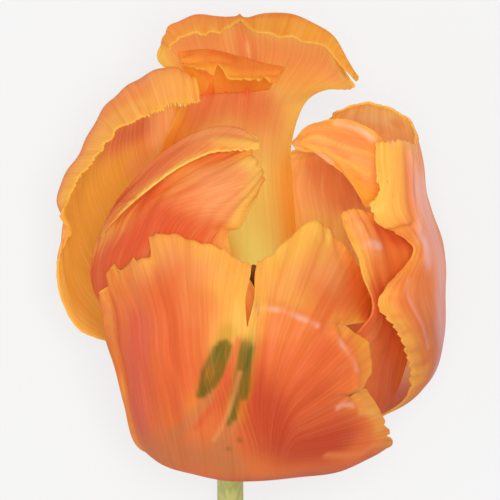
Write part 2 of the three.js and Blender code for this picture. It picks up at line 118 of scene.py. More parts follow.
def surface(knots, u, v):
    """Points on the surface through knots, u across the petal and v from claw to rim."""
    net = np.array(knots, float)
    across = curve_weights(net.shape[1], np.ravel(u))
    along = curve_weights(net.shape[0], np.ravel(v))
    points = np.einsum("ia,ib,abk->ik", along, across, net)
    return points.reshape(np.shape(u) + (3,))


def smooth(low, high, x):
    """0 below low, 1 above high and a soft step between."""
    t = np.clip((x - low) / (high - low), 0, 1)
    return t * t * (3 - 2 * t)


def near_path(points, knots, path, width, steps=12, fade=2.0):
    """1 on a path over the surface through knots, fading with the distance from it in mm."""
    line = np.reshape(path, (-1, 2)) / 100
    run = np.linspace(0, len(line) - 1, steps * len(line))
    u, v = (np.interp(run, np.arange(len(line)), line[:, k]) for k in (0, 1))
    gap = np.full(points.shape[:-1], np.inf)
    for mark in surface(knots, u, v):
        gap = np.minimum(gap, np.linalg.norm(points - mark, axis=-1))
    return np.exp(-((gap / width) ** fade))


def knots_on(knots, *places):
    """A first row of knots, on a petal's surface, for a flap that grows from it."""
    return surface(knots, *np.array(places).T).tolist()


print("curves ready")

# %% [markdown]
# ## Torn margins
# The margin of a parrot petal is cut into small uneven teeth, with a deeper cut here and there.
# The teeth are a zigzag whose steps and depths come from a seeded generator, so they are the same
# in every run. Deep cuts are placed one by one, because they give each petal its own outline.

# %% Teeth and cuts
def teeth(places, count, depth, seed):
    """Depth of an uneven zigzag at each place along a margin."""
    rng = np.random.default_rng(seed)
    steps = np.cumsum(rng.uniform(0.35, 1.65, 2 * count + 1))
    at = (steps - steps[0]) / (steps[-1] - steps[0])
    peaks, valleys = rng.uniform(0.35, 1, len(at)), rng.uniform(0, 0.3, len(at))
    heights = np.where(np.arange(len(at)) % 2, peaks, valleys)
    swell = 0.6 + 0.4 * np.sin(places * math.tau * 1.7 + seed)
    return depth * swell * np.interp(places, at, heights)


def cut_depth(cuts, side, places):
    """How deep the cuts of one side reach at each place. A roundness of 1 gives a V, more gives a U
    or a step, and less gives a slit between rounded lobes."""
    depth = np.zeros_like(places)
    for cut_side, at, before, after, deep, roundness in cuts:
        if cut_side == side:
            near = np.clip(np.abs(places - at) / np.where(places < at, before, after), 0, 1)
            depth = np.maximum(depth, deep * (1 - near ** roundness))
    return depth


CUT_REACH, TOOTH_REACH = 0.45, 0.75  # where over the petal a cut or a tooth starts to draw it in
EVEN_STEPS = 2001


def torn(cuts, side, places, towards, tooth, seed, roughness=1):
    """How far one torn margin draws in the points of the sheet, by how far they are towards it."""
    drawn_by_teeth = teeth(places, *tooth, seed) * roughness * smooth(TOOTH_REACH, 1, towards)
    return cut_depth(cuts, side, places) * smooth(CUT_REACH, 1, towards) + drawn_by_teeth


def crowded(count, cuts, sides):
    """Places from 0 to 1 that are closer together around the cuts."""
    even = np.linspace(0, 1, EVEN_STEPS)
    crowd = np.ones_like(even)
    for side, at, before, after, *_ in cuts:
        if side in sides:
            crowd += 2 * np.exp(-(((even - at) / (0.7 * (before + after))) ** 2))
    run = np.concatenate([[0], np.cumsum((crowd[1:] + crowd[:-1]) / 2)])
    return np.interp(np.linspace(0, 1, count + 1), run / run[-1], even)


print("teeth:", np.round(teeth(np.linspace(0, 1, 5), 20, 1.0, 1), 2))

# %% [markdown]
# ## From a flat grid to a petal
# A grid primitive is the blank, and each of its points is moved onto the knotted surface. Solidify
# then gives it its thickness. Five numbers are kept on each point for the materials: how far across
# and along the petal it is, how far from the torn margin in millimetres, which vein runs through
# it, and on which face it is.

# %% Blanks, points and kept numbers
def blank(name, across, along):
    """A flat grid, to be shaped into a petal or a tube."""
    bpy.ops.object.select_all(action="DESELECT")
    bpy.ops.mesh.primitive_grid_add(x_subdivisions=across, y_subdivisions=along, size=2)
    piece = bpy.context.object
    piece.name = piece.data.name = name
    return piece


def place_points(piece, points):
    """Moves a piece's points to places in mm from the foot."""
    piece.data.vertices.foreach_set("co", (points * MM + np.array(FOOT)).ravel())


def read_points(piece):
    co = np.zeros(len(piece.data.vertices) * 3)
    piece.data.vertices.foreach_get("co", co)
    return (co.reshape(-1, 3) - np.array(FOOT)) / MM


def keep(piece, label, values):
    """Keeps one number on each point, under a label that a material can read."""
    kept = piece.data.attributes.new(label, "FLOAT", "POINT")
    kept.data.foreach_set("value", np.ravel(values).astype(np.float32))


def kept_numbers(piece, label):
    values = np.zeros(len(piece.data.vertices), np.float32)
    piece.data.attributes[label].data.foreach_get("value", values)
    return values


# %% Shape a petal
def margin_distance(points):
    """How far each grid point is from the nearest point of the side margins and the rim."""
    margin = np.concatenate([points[:, 0], points[-1], points[:, -1]])
    tree = KDTree(len(margin))
    for index, point in enumerate(margin):
        tree.insert(point, index)
    tree.balance()
    gaps = [tree.find(point)[2] for point in points.reshape(-1, 3)]
    return np.array(gaps).reshape(points.shape[:2])


def surface_normals(knots, u, v):
    """The directions square to the surface through knots."""
    u, v = np.clip(u, NUDGE, 1 - NUDGE), np.clip(v, NUDGE, 1 - NUDGE)
    across = surface(knots, u + NUDGE, v) - surface(knots, u - NUDGE, v)
    along = surface(knots, u, v + NUDGE) - surface(knots, u, v - NUDGE)
    normals = np.cross(across, along)
    return normals / np.maximum(np.linalg.norm(normals, axis=2, keepdims=True), 1e-9)


def keep_faces(piece, points, normals):
    """Keeps for each point if it is on the outer face (1) or on the one that looks inwards (0)."""
    flat, normals = points.reshape(-1, 3), normals.reshape(-1, 3)
    arms = flat - np.outer(flat @ AXIS, AXIS)
    if (normals * arms).sum() < 0:
        normals = -normals
    lifted = read_points(piece) - np.tile(flat, (2, 1))
    keep(piece, "face", (lifted * np.tile(normals, (2, 1))).sum(1) > 0)


def petal_sheet(name, knots, across, along, cuts, tooth, seed, waves, veins=None, shift=0, pull=None):
    """One petal or flap as an object made from a grid. tooth is the number and the depth of the
    teeth on the rim and on each side; waves gives extra height along the normal, in mm, and veins
    gives each point the number of the vein that runs through it. pull moves points sideways over
    the petal. A flap's numbers across start at shift."""
    piece = blank(name, across, along)
    s, t = np.meshgrid(crowded(across, cuts, ("rim",)), crowded(along, cuts, ("left", "right")))
    up = t[:, 0]
    rim = torn(cuts, "rim", s[0], t, tooth[:2], seed)
    left = torn(cuts, "left", up, 1 - s.T, tooth[2:], seed + 50, up).T
    right = torn(cuts, "right", up, s.T, tooth[2:], seed + 90, up).T
    u, v = s + left - right, t - rim
    if pull is not None:
        u = u + pull(u, v)

    flat = surface(knots, u, v)
    edge = margin_distance(flat)
    normals = surface_normals(knots, u, v)
    points = flat + normals * waves(u, v, edge, partial(near_path, flat, knots))[..., None]
    points[..., 2] = np.maximum(points[..., 2], FLOOR_SEAT + PETAL_THICKNESS / 2 + FLOOR_GAP)
    place_points(piece, points)
    vein = u if veins is None else veins(u, v, points)
    for label, values in (("across", u + shift), ("along", v), ("edge", edge), ("vein", vein + shift)):
        keep(piece, label, values)

    solid = piece.modifiers.new("Thickness", "SOLIDIFY")
    solid.thickness = PETAL_THICKNESS * MM
    solid.offset = 0
    solid.use_rim = True
    bpy.ops.object.modifier_apply(modifier=solid.name)
    bpy.ops.object.shade_smooth()
    keep_faces(piece, points, normals)
    print(name, len(piece.data.polygons), "faces")
    return piece


def fan(points, centre_x, centre_y):
    """The number of a vein that spreads from one place like a fan, seen from above: 0 on its left
    side, a half straight up and 1 on its right side."""
    angle = np.arctan2(points[..., 1] - centre_y, points[..., 0] - centre_x)
    return 1 - angle / math.pi


def join_flap(petal, flap):
    """A flap is the same skin as its petal, so both become one object."""
    bpy.ops.object.select_all(action="DESELECT")
    flap.select_set(True)
    petal.select_set(True)
    bpy.context.view_layer.objects.active = petal
    bpy.ops.object.join()
    return petal


# %% Pleats and frills
def pleats(u, v, height, count, sway, bends, start, end):
    """Soft pleats along the petal that sway from side to side, from above its claw upwards."""
    return height * np.sin(u * count + sway * np.sin(v * bends)) * smooth(start, end, v)


def frill(place, edge, width, height, count, twist=0):
    """Uneven ripples along a margin, which fade out at some width from the torn edge."""
    return height * np.sin(place * count + 2 * np.sin(place * twist)) * smooth(width, 0, edge)


# %% [markdown]
# ## The outer front petal
# The broadest petal bulges over the whole front of the flower. A narrow notch splits its rim into
# two main lobes, and two short cuts on its right margin set off two smaller ones.

# %% Outer front petal
FRONT = [
    ring(-50, 50, 9, *OUTER_CLAW),
    ring(-48, 52, 9, 17, 0),
    [[-20, -5.25, 13], [-14.5, -9, 20], [-7.5, -10.75, 25], [-0.5, -12, 27], [7, -12, 28],
     [15.25, -11.25, 27], [23, -10.5, 24], [28.75, -8.25, 20], [33, -6.25, 15]],
    [[-22.5, 4, 20], [-17, -0.5, 30], [-9, -3, 37], [-1, -4, 41], [7, -4.5, 42], [15, -3.5, 41],
     [23, -2.5, 37], [29.5, -1.5, 31], [34.25, -1.75, 24]],
    [[-24, 12, 24], [-18.5, 8.5, 35], [-10.5, 6, 43], [-2, 5, 47], [4, 5, 48], [14.5, 5.5, 47],
     [21, 6.5, 44], [26.5, 7, 39], [29.5, 8.25, 34]],
    [[-26, 18.5, 27], [-19.5, 16, 38], [-12, 14, 45], [-4, 13, 49.5], [3.5, 13.25, 51],
     [13, 13.5, 50], [20, 13.5, 47], [25, 13, 43], [30, 13.25, 38]],
    [[-26.5, 23.5, 28], [-20, 23, 38.5], [-12.5, 22.5, 46], [-4.5, 22.5, 50.5], [4, 22.75, 52],
     [12.5, 22, 50.5], [19, 21, 48], [23.5, 20, 45], [29.25, 20.5, 39]],
    [[-27, 25.5, 28], [-22, 28.5, 35.5], [-14.5, 30.5, 44], [-4.5, 30.5, 49], [4.75, 29, 50],
     [12.5, 30, 48.5], [19, 30.5, 45], [24.5, 29, 39], [30.5, 25.25, 30]],
    [[-27, 27.75, 28], [-24, 34, 32.5], [-17.25, 39.75, 39.5], [-3.5, 39.5, 46.5],
     [5.5, 34.5, 47.5], [11.5, 38.5, 46], [17.5, 43, 43], [23, 39, 39], [29.25, 30.75, 33.5]],
]
FRONT_CUTS = [  # side, where, width before and after, depth, roundness
    ("rim", 0.5, 0.036, 0.032, 0.275, 1.2),
    ("rim", 0.03, 0.03, 0.03, 0.02, 6),
    ("rim", 0.163, 0.042, 0.042, 0.045, 8),
    ("rim", 0.222, 0.03, 0.03, 0.055, 8),
    ("rim", 0.4, 0.085, 0.085, 0.018, 8),
    ("right", 0.765, 0.07, 0.022, 0.12, 0.7),
    ("right", 0.5, 0.012, 0.06, 0.11, 0.8),
    ("right", 0.392, 0.012, 0.012, 0.022, 1),
    ("right", 0.35, 0.012, 0.012, 0.03, 1),
]


def front_veins(u, v, points):
    """The veins of the right half spread like a fan into its lobes."""
    spread = smooth(0.47, 0.62, u) * smooth(0.1, 0.22, v)
    return u + (fan(points, 2, -6) - u) * spread


def front_waves(u, v, edge, near):
    side = np.tanh((u - 0.228 - 0.06 * (0.86 - v)) / 0.008)
    pleat = -0.45 * side * near([22.8, 100, 22.6, 85, 23.6, 73, 24.5, 62], 3.2)
    crease = 0.5 * near([52, 79, 60, 78.3, 66.5, 76.5, 73.5, 75], 1.3)
    hollow = -0.5 * near([56, 72, 66, 71, 74, 70], 3.0)
    rib = 0.45 * near([82, 74, 89.5, 67, 90.7, 60, 87, 53, 81, 47.5], 1.0)
    step = v - 0.505
    lap = 0.7 * np.tanh(step / 0.012) * np.exp(-((step / 0.07) ** 2)) * smooth(0.72, 0.9, u)
    ribs = 0.3 * np.sin(u * 75 + 1) * smooth(0.3, 0.05, u) * smooth(0.35, 0.55, v)
    spread = front_veins(u, v, surface(FRONT, u, v))
    folds = 0.2 * np.sin(spread * 90 + 3 * np.sin(spread * 9)) * smooth(0.3, 0.5, v)
    return pleat + crease + hollow + rib + lap + ribs + folds + frill(u, edge, 5, 0.3, 70, 23)


def front_pull(u, v):
    """The two lobes lean together and nearly touch at the top of the notch."""
    off = u - 0.498
    return -0.86 * off * np.exp(-((off / 0.08) ** 2)) * smooth(0.78, 0.95, v)


front = petal_sheet(
    "petal_outer_front", FRONT, 240, 170, FRONT_CUTS, (34, 0.016, 30, 0.012), 3, front_waves,
    front_veins, pull=front_pull,
)

# %% [markdown]
# ## The outer right petal
# A deep shell. Its upper front corner folds over into a flap, and a tongue of the same skin grows
# from inside the fold and lies over the cup. The tongue starts on the petal's own surface.

# %% Outer right petal
RIGHT = [
    ring(70, 170, 6, *OUTER_CLAW),
    ring(84, 165, 6, 17, 0),
    [[26.5, -2, 5], [34, 2.5, -1], [33.5, 9, -9], [25.5, 15.5, -15.5], [17, 19, -17.5],
     [9, 20.5, -15]],
    [[37.25, 3.75, 14], [40.75, 5.5, 10], [43.75, 10.75, 1], [38, 20, -9.5], [27, 26, -16.5],
     [13, 29, -15]],
    [[38.5, 10.75, 24], [43.75, 12.75, 18], [46.5, 19, 8], [43.5, 28, -2], [33.5, 35, -9],
     [12, 36.5, -14.5]],
    [[35.25, 19.25, 35], [41.5, 20, 28.5], [46.25, 26.75, 15], [45, 36.25, 5], [35.5, 43, -4],
     [11, 43, -11]],
    [[31, 26.25, 40.5], [38.25, 28, 37], [45.75, 32.5, 19], [44.5, 41.5, 9], [34, 50, 0],
     [10, 50, -7]],
    [[38.75, 36.75, 33.5], [40.75, 37.25, 31.5], [44, 38.75, 22], [42.75, 46.25, 12],
     [33, 54.5, 3], [11, 55, -3]],
    [[29.25, 43.75, 41], [37, 45.5, 38], [41.25, 46, 25], [41.25, 51.75, 14], [30.5, 59, 6],
     [12.5, 57.5, -2]],
    [[30.75, 51, 43], [36.5, 52, 38.5], [40.25, 53.25, 26], [40.5, 58, 17], [30, 63.5, 11],
     [18, 62, 8]],
    [[30.5, 59.5, 41], [36, 60, 38], [39.5, 59.25, 30], [38, 65, 25], [30, 68.25, 24],
     [22.75, 66.5, 20]],
]
TONGUE = [
    knots_on(RIGHT, (0.3, 0.94), (0.3, 0.89), (0.31, 0.84)),
    [[34.5, 57.5, 36.5], [34, 53, 36], [34, 47.5, 33]],
    [[30.5, 61.5, 38], [30, 55.5, 38], [29, 45.5, 34.5]],
    [[25.5, 64, 38], [24.5, 57.5, 39.5], [26, 50.5, 36]],
    [[20, 64, 38], [18.5, 59.5, 40], [22.5, 54, 38]],
    [[15, 61.5, 37], [15.5, 59, 38.5], [18, 57, 38.5]],
    [[13.5, 59, 36], [13.5, 58.5, 37], [15, 57.5, 37.5]],
]


def right_waves(u, v, edge, near):
    crest = 0.7 * near([27, 95, 25, 86, 25.6, 79, 23, 74.5], 1.1)
    dip = -0.7 * near([36, 94, 34, 86, 32, 79, 28, 74], 1.6)
    above, below = smooth(0.756, 0.77, v), smooth(0.77, 0.756, v)
    over = 0.7 * (above * smooth(0.9, 0.77, v) - smooth(0.7, 0.756, v) * below)
    ribs = 0.3 * np.sin(v * 130 + 3 * np.sin(v * 17)) * smooth(7, 0, edge) * smooth(0.4, 0.2, u)
    ruffle = frill(v, edge, 4, 0.2, 80, 31) * smooth(0.3, 0.5, v)
    lower = smooth(0.7, 0.6, v) * smooth(0.3, 0.4, v)
    creases = crest + dip + ribs * lower + over * smooth(0.24, 0.16, u)
    return pleats(u, v, 0.12, 60, 3, 5, 0.3, 0.7) + ruffle + creases


def flap_waves(u, v, edge, near):
    return 0.3 * np.sin(v * 30 + u * 9) * smooth(4, 0, edge) * smooth(0, 0.3, v)


RIGHT_CUTS = [("left", 0.87, 0.03, 0.03, 0.03, 3), ("left", 0.8, 0.012, 0.03, 0.02, 1)]
for nick in (0.355, 0.38, 0.4, 0.423, 0.44, 0.462, 0.485, 0.5, 0.524, 0.55):
    RIGHT_CUTS.append(("left", nick, 0.004, 0.012, 0.016, 1))
right = petal_sheet(
    "petal_outer_right", RIGHT, 150, 230, RIGHT_CUTS, (26, 0.012, 56, 0.035), 7, right_waves
)
tongue = petal_sheet("tongue", TONGUE, 60, 110, (), (4, 0.01, 18, 0.05), 8, flap_waves, shift=FLAP_SHIFT)
right = join_flap(right, tongue)

# %% [markdown]
# ## The outer left petal
# A wide spoon that shows its golden inside. Its rim rolls inward as a soft band with fine teeth.

# %% Outer left petal
LEFT = [
    ring(-70, -170, 7, *OUTER_CLAW),
    ring(-92, -166, 7, 17, 0),
    [[-24.5, 12.5, -7.5], [-23.5, 14.5, -10.5], [-21, 17, -14], [-18, 18.5, -16],
     [-14, 20, -17], [-9.5, 20.5, -16.5], [-5.5, 21, -15]],
    [[-25.75, 16.25, 5], [-28.5, 21.5, -3], [-24, 28.5, -11.5], [-17, 30.5, -16],
     [-9.5, 32, -17], [-3, 34.5, -15.5], [1.5, 35.5, -14.5]],
    [[-32.5, 19.25, 9], [-33.5, 29, 3], [-30, 39, -2], [-23.5, 43.5, -6], [-16.5, 46.5, -7],
     [-11, 49, -8], [-5.5, 50.5, -8]],
    [[-36.25, 25.75, 12], [-35.5, 37, 9], [-32.5, 48, 6], [-27.5, 54.5, 4], [-21, 59, 4],
     [-14, 61.5, 4], [-7.5, 62.5, 3]],
    [[-37.25, 33.5, 15], [-36, 45, 14], [-31.75, 54.5, 14], [-26, 62.75, 15], [-20, 68.25, 16],
     [-14.5, 71.5, 15], [-11, 68.5, 10]],
    [[-34.75, 39.5, 16], [-36.75, 49, 18], [-31.75, 58, 20], [-26.75, 67, 21],
     [-20.25, 72.5, 23], [-12.75, 75.5, 25], [-7.5, 73.5, 25]],
    [[-36.5, 44.25, 19], [-33, 50, 24], [-27, 58, 27], [-23, 62.5, 29], [-16.5, 65, 31],
     [-11, 66.5, 32], [-6, 68, 29]],
]


def left_waves(u, v, edge, near):
    dent = 1.0 * near([0, 84, 5, 82, 12, 78], 2.6)
    ruffle = frill(u, edge, 5, 0.3, 60, 19) * smooth(0.5, 0.8, v)
    return pleats(u, v, 0.15, 50, 2, 6, 0.3, 0.7) + ruffle + dent


left = petal_sheet("petal_outer_left", LEFT, 210, 170, (), (58, 0.024, 24, 0.02), 12, left_waves)

# %% [markdown]
# ## The inner left petal
# It curls over the cup and ends in a ragged tip. Its outer margin is rolled back over its own
# striped face, which makes a smooth band with a yellow line along it.

# %% Inner left petal
INNER_LEFT = [
    ring(-10, -110, 6, *INNER_CLAW),
    ring(-12, -108, 6, 14, 2.5),
    ring(-18, -92, 6, 22, 7),
    [[7.5, 16, 38], [-5, 15.5, 39], [-15.5, 15.5, 31], [-21.5, 16.5, 21], [-24, 19, 12],
     [-21.5, 22, 8]],
    [[7, 26, 39.5], [-7, 28.5, 42], [-17.5, 28, 36], [-24.5, 27, 25], [-29, 28, 17],
     [-27, 31, 12]],
    [[1, 35.5, 40], [-8.25, 36.25, 40.5], [-16.5, 36, 36], [-24.5, 35, 28.5], [-29, 35, 21],
     [-28.5, 37.5, 20]],
    [[0, 40.5, 40], [-5.5, 41.25, 42], [-13.25, 42.25, 40], [-20, 43, 35], [-25.5, 44, 28],
     [-22.5, 44.5, 35.5]],
    [[2.5, 41.5, 41], [-3.5, 44.5, 44.5], [-10, 47, 44], [-15.5, 49.5, 38], [-20.5, 50.5, 33],
     [-16.5, 49.5, 42]],
    [[4.5, 45.5, 41], [0, 47, 45], [-5, 50, 45], [-9.5, 54, 40], [-14, 57, 36], [-10, 54, 43]],
    [[6, 48, 40], [3.5, 49.5, 44], [0, 52.5, 44], [-2.5, 56.5, 39], [-5, 62, 36],
     [-3.5, 57, 43]],
    [[6.5, 50, 38], [6.5, 52.5, 41], [4.5, 55.5, 41.5], [3, 58, 38], [1.5, 62.5, 36],
     [2.5, 57.5, 42]],
    [[7, 50.5, 37.5], [7, 53, 39], [5.5, 55.5, 39.5], [5, 58, 38], [6, 60, 37], [6.5, 58, 40]],
]


def inner_left_veins(u, v, points):
    """Past its middle the petal's veins spread from its outer side towards the tip."""
    angle = np.arctan2(points[..., 1] - 39.5, points[..., 0] + 31)
    return u + ((angle + 0.26) / 1.3 - u) * smooth(0.5, 0.7, v)


def inner_left_waves(u, v, edge, near):
    ruffle = 0.3 * np.sin(u * 40 + 1.7) * smooth(4, 0, edge) * smooth(0.7, 0.9, v)
    return pleats(u, v, 0.14, 70, 3, 4, 0.3, 0.6) + ruffle


inner_left = petal_sheet(
    "petal_inner_front_left", INNER_LEFT, 150, 210, (), (18, 0.014, 40, 0.02), 21,
    inner_left_waves, inner_left_veins,
)

# %% [markdown]
# ## The inner right petal
# A narrow petal between the front petal and the right one. Its left margin lies over the front
# petal's lobe and then dives behind the smaller lobes.

# %% Inner right petal
INNER_RIGHT = [
    ring(10, 110, 5, *INNER_CLAW),
    ring(12, 108, 5, 14, 2.5),
    ring(20, 98, 5, 23, 7),
    [[15, 1, 27], [24, 1, 23], [32, 1.5, 16], [34, 4.5, 9.5], [33.5, 9.5, 5]],
    [[19.5, 13, 36], [27, 12.5, 33], [34.5, 12, 25], [39, 16, 15], [36, 23.5, 5]],
    [[29.75, 22.75, 39.5], [32.25, 21.5, 33.5], [36, 22, 25], [40, 25.5, 16], [39, 33, 9]],
    [[27.25, 34.25, 39.5], [30, 33.5, 37], [34.5, 34, 31.5], [39, 36, 25], [40, 40, 15]],
    [[24, 41.5, 39], [28, 40.5, 39.5], [32.5, 39.5, 33.5], [36.5, 40, 27], [38.5, 41.5, 17]],
    [[23.5, 44.5, 38], [26, 45.5, 38.5], [29.5, 44.5, 36.5], [33, 43.5, 32], [36, 44, 23]],
]


def inner_right_waves(u, v, edge, near):
    fold = 0.5 * near([22, 90, 27, 83, 36, 78], 1.5)
    ruffle = frill(v, edge, 3, 0.25, 60) * smooth(0.4, 0.6, v)
    return pleats(u, v, 0.15, 40, 2, 6, 0.3, 0.6) + fold + ruffle


inner_right = petal_sheet(
    "petal_inner_front_right", INNER_RIGHT, 110, 160, (), (14, 0.015, 26, 0.025), 31,
    inner_right_waves,
)

# %% [markdown]
# ## The inner back petal
# The tallest petal: a golden column that widens into a hood. A flap grows from its throat and
# folds forward under the hood.

# %% Inner back petal
BACK = [
    ring(230, 130, 7, *INNER_CLAW),
    ring(230, 130, 7, 14, 2.5),
    ring(226, 134, 7, 22, 8),
    [[-9, 37.75, -9], [-4.5, 36.25, -10.5], [-0.25, 35.25, -11.5], [4, 35, -12],
     [8, 35.25, -11.5], [11.5, 36.25, -10.5], [14.75, 37.75, -9]],
    [[-14.25, 52.5, 4], [-8.75, 50.5, 0], [-2.75, 49.25, -2.5], [3.5, 48.75, -4],
     [7, 49.25, -3.5], [10.25, 50.5, -2.5], [13.75, 51.75, -1]],
    [[-15, 58.5, 10], [-9.5, 59.25, 6.5], [-3.25, 59.5, 4], [3, 59, 2], [6.5, 59.25, 1.5],
     [10.25, 59.25, 1.5], [13.5, 60.25, 3.5]],
    [[-11.9, 65.25, 13], [-6.5, 66.75, 11.5], [-1.75, 67.5, 9.5], [3.25, 67.75, 8],
     [7.75, 67.75, 7.5], [11.75, 68, 7.5], [16.25, 68.5, 8]],
    [[-9.75, 71.75, 14.5], [-4.75, 73.5, 14], [-0.75, 74, 13], [3.75, 74, 12], [9.25, 73.75, 12],
     [14.75, 72, 13], [20.5, 71.25, 14]],
    [[-15.25, 77.25, 22], [-10.5, 79.5, 21], [-4.5, 80.25, 19], [3.25, 80.25, 17],
     [11.5, 80, 17.5], [19.75, 77.5, 18.5], [26.25, 71.25, 19]],
    [[-14.25, 80.25, 26], [-12.5, 84.25, 27], [-5.5, 86.5, 28], [2.25, 85, 24], [10.25, 87, 27],
     [20.5, 83.25, 27.5], [27.75, 73.5, 24]],
    [[-13, 79, 30], [-10.25, 81.75, 33.5], [-5, 82, 35.5], [2.75, 83.25, 31], [8.5, 82, 35],
     [18.75, 80, 32], [26.75, 73.5, 26]],
]
BACK_CUTS = [("right", 0.845, 0.016, 0.016, 0.11, 1.3), ("rim", 0.5, 0.06, 0.06, 0.04, 0.8)]
FLAP = [
    knots_on(BACK, (0.06, 0.66), (0.27, 0.65), (0.49, 0.65), (0.66, 0.665)),
    [[-10, 75.5, 17], [-4, 76.5, 16], [3, 75, 15], [10.5, 74.5, 15]],
    [[-11, 78.75, 20], [-4.5, 79.5, 21], [3.25, 77.75, 20], [11.75, 75.5, 18.5]],
    [[-10.5, 77.5, 22], [-4.5, 77.5, 24], [3.25, 75.5, 23.5], [11, 74.5, 20.5]],
    [[-9.5, 76, 23], [-3.5, 74, 26], [3.5, 72.5, 26], [10, 72.5, 22]],
]
FLAP_CUTS = [("rim", 0.42, 0.07, 0.07, 0.2, 1), ("rim", 0.86, 0.04, 0.04, 0.15, 1)]


def back_waves(u, v, edge, near):
    off = u - 0.5
    valley = -2.0 * np.exp(-np.abs(off) / 0.045) * smooth(0.72, 0.88, v)
    midrib = 0.6 * np.exp(-((off / 0.02) ** 2)) * smooth(0.5, 0.62, v) * smooth(0.86, 0.78, v)
    ruffle = frill(u, edge, 5, 0.4, 48, 17) * smooth(0.75, 0.9, v)
    return pleats(u, v, 0.15, 44, 2, 5, 0.4, 0.7) + ruffle + valley + midrib


back = petal_sheet("petal_inner_back", BACK, 160, 210, BACK_CUTS, (30, 0.016, 30, 0.012), 41, back_waves)
flap = petal_sheet("flap", FLAP, 90, 70, FLAP_CUTS, (12, 0.1, 6, 0.02), 44, flap_waves, shift=FLAP_SHIFT)
back = join_flap(back, flap)

# %% [markdown]
# ## Round pieces
# The stem, the pistil and the stamens are all tubes whose width changes on the way. A tube is a
# grid rolled up: its last column is laid on its first and merged, and its two ends are filled.

# %% Rings and tubes
MERGE_GAP = 1e-6  # m
SHARP_TURN = math.radians(50)


def hoop(centre, along, around, radius_at):
    """A ring of points square to a direction, its last point on its first."""
    along = np.array(along, float) / np.linalg.norm(along)
    side = np.array([0, along[2], -along[1]])
    side /= np.linalg.norm(side)
    other = np.cross(along, side)
    turns = np.linspace(0, math.tau, around + 1)
    radii = radius_at(turns)[:, None] * np.ones((around + 1, 1))
    return np.array(centre) + radii * (np.outer(np.sin(turns), side) + np.outer(np.cos(turns), other))


def plain(radius):
    return lambda turns: np.full_like(turns, radius)


def curve_points(knots, places):
    """Points and directions along the smooth curve through knots."""
    net = np.array(knots, float)
    points = curve_weights(len(net), places) @ net
    ahead = curve_weights(len(net), np.minimum(places + NUDGE, 1)) @ net
    behind = curve_weights(len(net), np.maximum(places - NUDGE, 0)) @ net
    return points, ahead - behind


def tube(name, rings):
    """A closed tube through rings of points, all in mm from the foot."""
    rings = np.array(rings)
    piece = blank(name, rings.shape[1] - 1, rings.shape[0] - 1)
    place_points(piece, rings)
    bpy.ops.object.mode_set(mode="EDIT")
    bpy.ops.mesh.select_all(action="SELECT")
    bpy.ops.mesh.remove_doubles(threshold=MERGE_GAP)
    bpy.ops.mesh.select_non_manifold()
    bpy.ops.mesh.fill_holes(sides=0)
    bpy.ops.mesh.select_all(action="SELECT")
    bpy.ops.mesh.normals_make_consistent(inside=False)
    bpy.ops.object.mode_set(mode="OBJECT")
    bpy.ops.object.shade_smooth_by_angle(angle=SHARP_TURN)
    print(name, len(piece.data.polygons), "faces")
    return piece


# %% [markdown]
# ## The stem
# It leaves the flower along its axis and bows back to the floor, where only its slanted cut end
# touches. At the top it widens into the small dish and cone that the petals stand on.

# %% Stem
STEM_RADIUS = 2.9
STEM_END = -147
STEM_SLANT = 0.5
STEM_RINGS = 90
AROUND = 48
STEM_REST = FLOOR_SEAT + STEM_RADIUS
STEM_PATH = [
    [1, STEM_END, STEM_REST - 0.15],
    [-0.5, STEM_END * 0.7, STEM_REST + 0.9],
    [-1, STEM_END * 0.45, STEM_REST + 1.7],
    [-0.5, STEM_END * 0.28, STEM_REST + 2.3],
    [0, STEM_END * 0.17, STEM_REST + 4],
    [0, STEM_END * 0.09, STEM_REST + 7.2],
    cup(0, 0, -8),
]
RECEPTACLE = [
    (-5, STEM_RADIUS * 1.15), (-3.5, STEM_RADIUS * 1.3), (-2.2, STEM_RADIUS * 1.6),
    (-1.1, OUTER_CLAW[0] + 0.7), (-0.7, OUTER_CLAW[0] + 0.6), (-0.69, OUTER_CLAW[0] - 0.4),
    (0.5, OUTER_CLAW[0] - 0.4), (0.8, INNER_CLAW[0] - 0.4), (1.6, INNER_CLAW[0] - 0.4), (2.5, 3.2),
]
middles, directions = curve_points(STEM_PATH, np.linspace(0, 1, STEM_RINGS))
stem_rings = [hoop(m, d, AROUND, plain(STEM_RADIUS)) for m, d in zip(middles, directions)]
stem_rings[0][:, 1] += (stem_rings[0][:, 2] - middles[0][2]) * STEM_SLANT
stem_rings += [hoop(AXIS * height, AXIS, AROUND, plain(radius)) for height, radius in RECEPTACLE]
stem_rings = np.array(stem_rings)
stem_rings[..., 2] = np.maximum(stem_rings[..., 2], FLOOR_SEAT)
stem = tube("flower_stem", stem_rings)

# %% [markdown]
# ## The pistil
# A swelling green ovary with three rounded sides under a stigma of three frilled lobes.

# %% Pistil
PISTIL_HEIGHT = 30
PISTIL_RADIUS = 3
PISTIL_RINGS = 60
SEAT = 2.9  # height of the receptacle's top and a small gap


def pistil_ring(share):
    body = PISTIL_RADIUS * np.interp(share, [0, 0.15, 0.45, 0.75, 0.86], [0.65, 0.85, 1, 0.85, 0.75])
    stigma = PISTIL_RADIUS * np.interp(share, [0.84, 0.93, 1], [0.8, 1.15, 0.7])
    open_lobes = 0.3 * smooth(0.8, 0.93, share)
    radius = body if share < 0.85 else stigma
    sides = 0.04 * (1 - smooth(0.8, 0.9, share))
    return hoop(
        AXIS * (SEAT + PISTIL_HEIGHT * share), AXIS, AROUND,
        lambda turns: radius * (1 + (open_lobes + sides) * np.cos(3 * turns)),
    )


pistil = tube("flower_pistil", [pistil_ring(share) for share in np.linspace(0, 1, PISTIL_RINGS)])

# %% [markdown]
# ## The stamens
# Six filaments stand on a low ring, and each carries a long dark anther with grooves. They follow
# the same small seeded turns and leans as the solids do.

